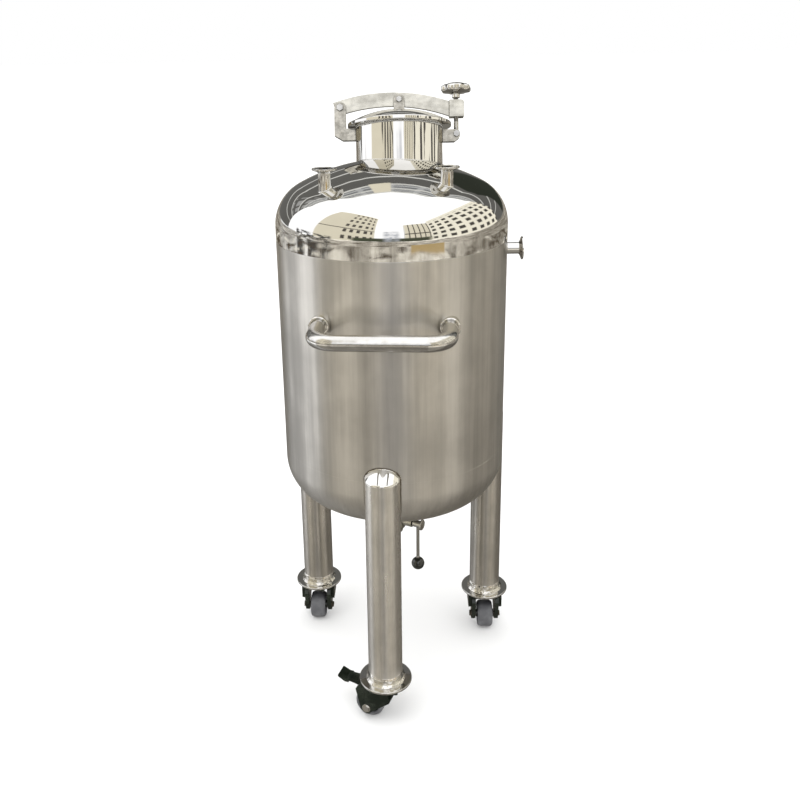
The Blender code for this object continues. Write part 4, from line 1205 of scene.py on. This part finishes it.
def make_studio():
    world = bpy.data.worlds.new("studio")
    SCENE.world = world
    world.use_nodes = True
    world.cycles.sampling_method = "NONE"
    world.node_tree.nodes.clear()
    tree = Tree(world.node_tree)
    direction = tree.node("ShaderNodeTexCoord").outputs["Generated"]
    parts = tree.node("ShaderNodeSeparateXYZ", {0: direction})
    way = parts.outputs
    degrees = math.degrees(1)
    heading = tree.times(tree.math("ARCTAN2", way[0], way[1]), degrees)
    height = tree.times(tree.math("ARCSINE", way[2]), degrees)
    spread = tree.node("ShaderNodeCombineXYZ", {0: heading, 1: height}).outputs[0]
    mottle = tree.noise(spread, (0.12, 0.22, 1.0), 4.0, 0.65)
    walls = tinted_walls(tree, way, heading, height)
    behind = tree.math("ABSOLUTE", heading)
    haze = tree.times(tree.between(behind, 170, 176), stripe(tree, height, 0, 24, 2))
    haze = tree.times(haze, tree.between(mottle, 0.38, 0.6, 0.3, 1.0))
    walls = tree.mix(haze, walls, (0.62, 0.65, 0.72))
    near = stripe(tree, height, -14.2, -1, 0.8)
    ground = tinted_ground(tree, heading, height, mottle, near)
    mirrored = tree.mix(tree.between(height, 0.3, -0.3), walls, ground)
    things = tree.times(stripe(tree, heading, -120, -76, 2), stripe(tree, height, -14, 5, 1))
    mirrored = tree.mix(tree.times(things, tree.between(mottle, 0.4, 0.55)), mirrored, (0.1, 0.1, 0.1))
    clutter = tree.noise(spread, (0.045, 1.9, 1.0), 5.0, 0.7)
    dark = tree.times(near, tree.between(clutter, 0.50, 0.56))
    mirrored = tree.mix(dark, mirrored, (0.12, 0.095, 0.07))
    light = tree.times(near, tree.between(clutter, 0.44, 0.40))
    mirrored = tree.mix(light, mirrored, (1.2, 1.14, 1.0))
    warm = tree.times(stripe(tree, heading, 128, 162, 1), stripe(tree, height, -13.4, -9, 0.3))
    mirrored = tree.mix(warm, mirrored, (0.66, 0.49, 0.24))
    path = tree.node("ShaderNodeLightPath").outputs
    colour = tree.mix(path["Is Diffuse Ray"], mirrored, (1.6, 1.6, 1.6))
    colour = tree.mix(path["Is Camera Ray"], colour, (1.0, 1.0, 1.0))
    shader = tree.node("ShaderNodeBackground", {"Color": colour, "Strength": 1.0})
    tree.node("ShaderNodeOutputWorld", {"Surface": shader.outputs[0]})


def make_lamp():
    lamp = bpy.data.lights.new("softbox", "AREA")
    lamp.shape = "RECTANGLE"
    lamp.size = 2.4
    lamp.size_y = 1.6
    lamp.energy = 30
    obj = bpy.data.objects.new("softbox", lamp)
    obj.location = (-0.6, -1.4, 3.4)
    aim = Vector((AXIS_X, AXIS_Y, 0.7)) - obj.location
    obj.rotation_euler = aim.to_track_quat("-Z", "Y").to_euler()
    obj.visible_glossy = False
    SCENE.collection.objects.link(obj)


def make_camera():
    data = bpy.data.cameras.new("camera")
    data.sensor_width = SENSOR_WIDTH
    data.lens = FOCAL_PIXELS / FRAME_PIXELS * SENSOR_WIDTH
    data.shift_x = 0.5 - CENTRE_COLUMN / FRAME_PIXELS
    data.shift_y = CENTRE_ROW / FRAME_PIXELS - 0.5
    data.clip_end = 300
    camera = bpy.data.objects.new("camera", data)
    SCENE.collection.objects.link(camera)
    place = moved(AXIS_X, AXIS_Y - CAMERA_DISTANCE, CAMERA_HEIGHT) @ turned(-CAMERA_YAW, "Z")
    camera.matrix_world = place @ turned(math.pi / 2 - CAMERA_PITCH, "X") @ turned(CAMERA_ROLL, "Z")
    SCENE.camera = camera


make_floor()
make_studio()
make_lamp()
make_camera()
SCENE.view_settings.view_transform = "Standard"
SCENE.view_settings.look = "None"
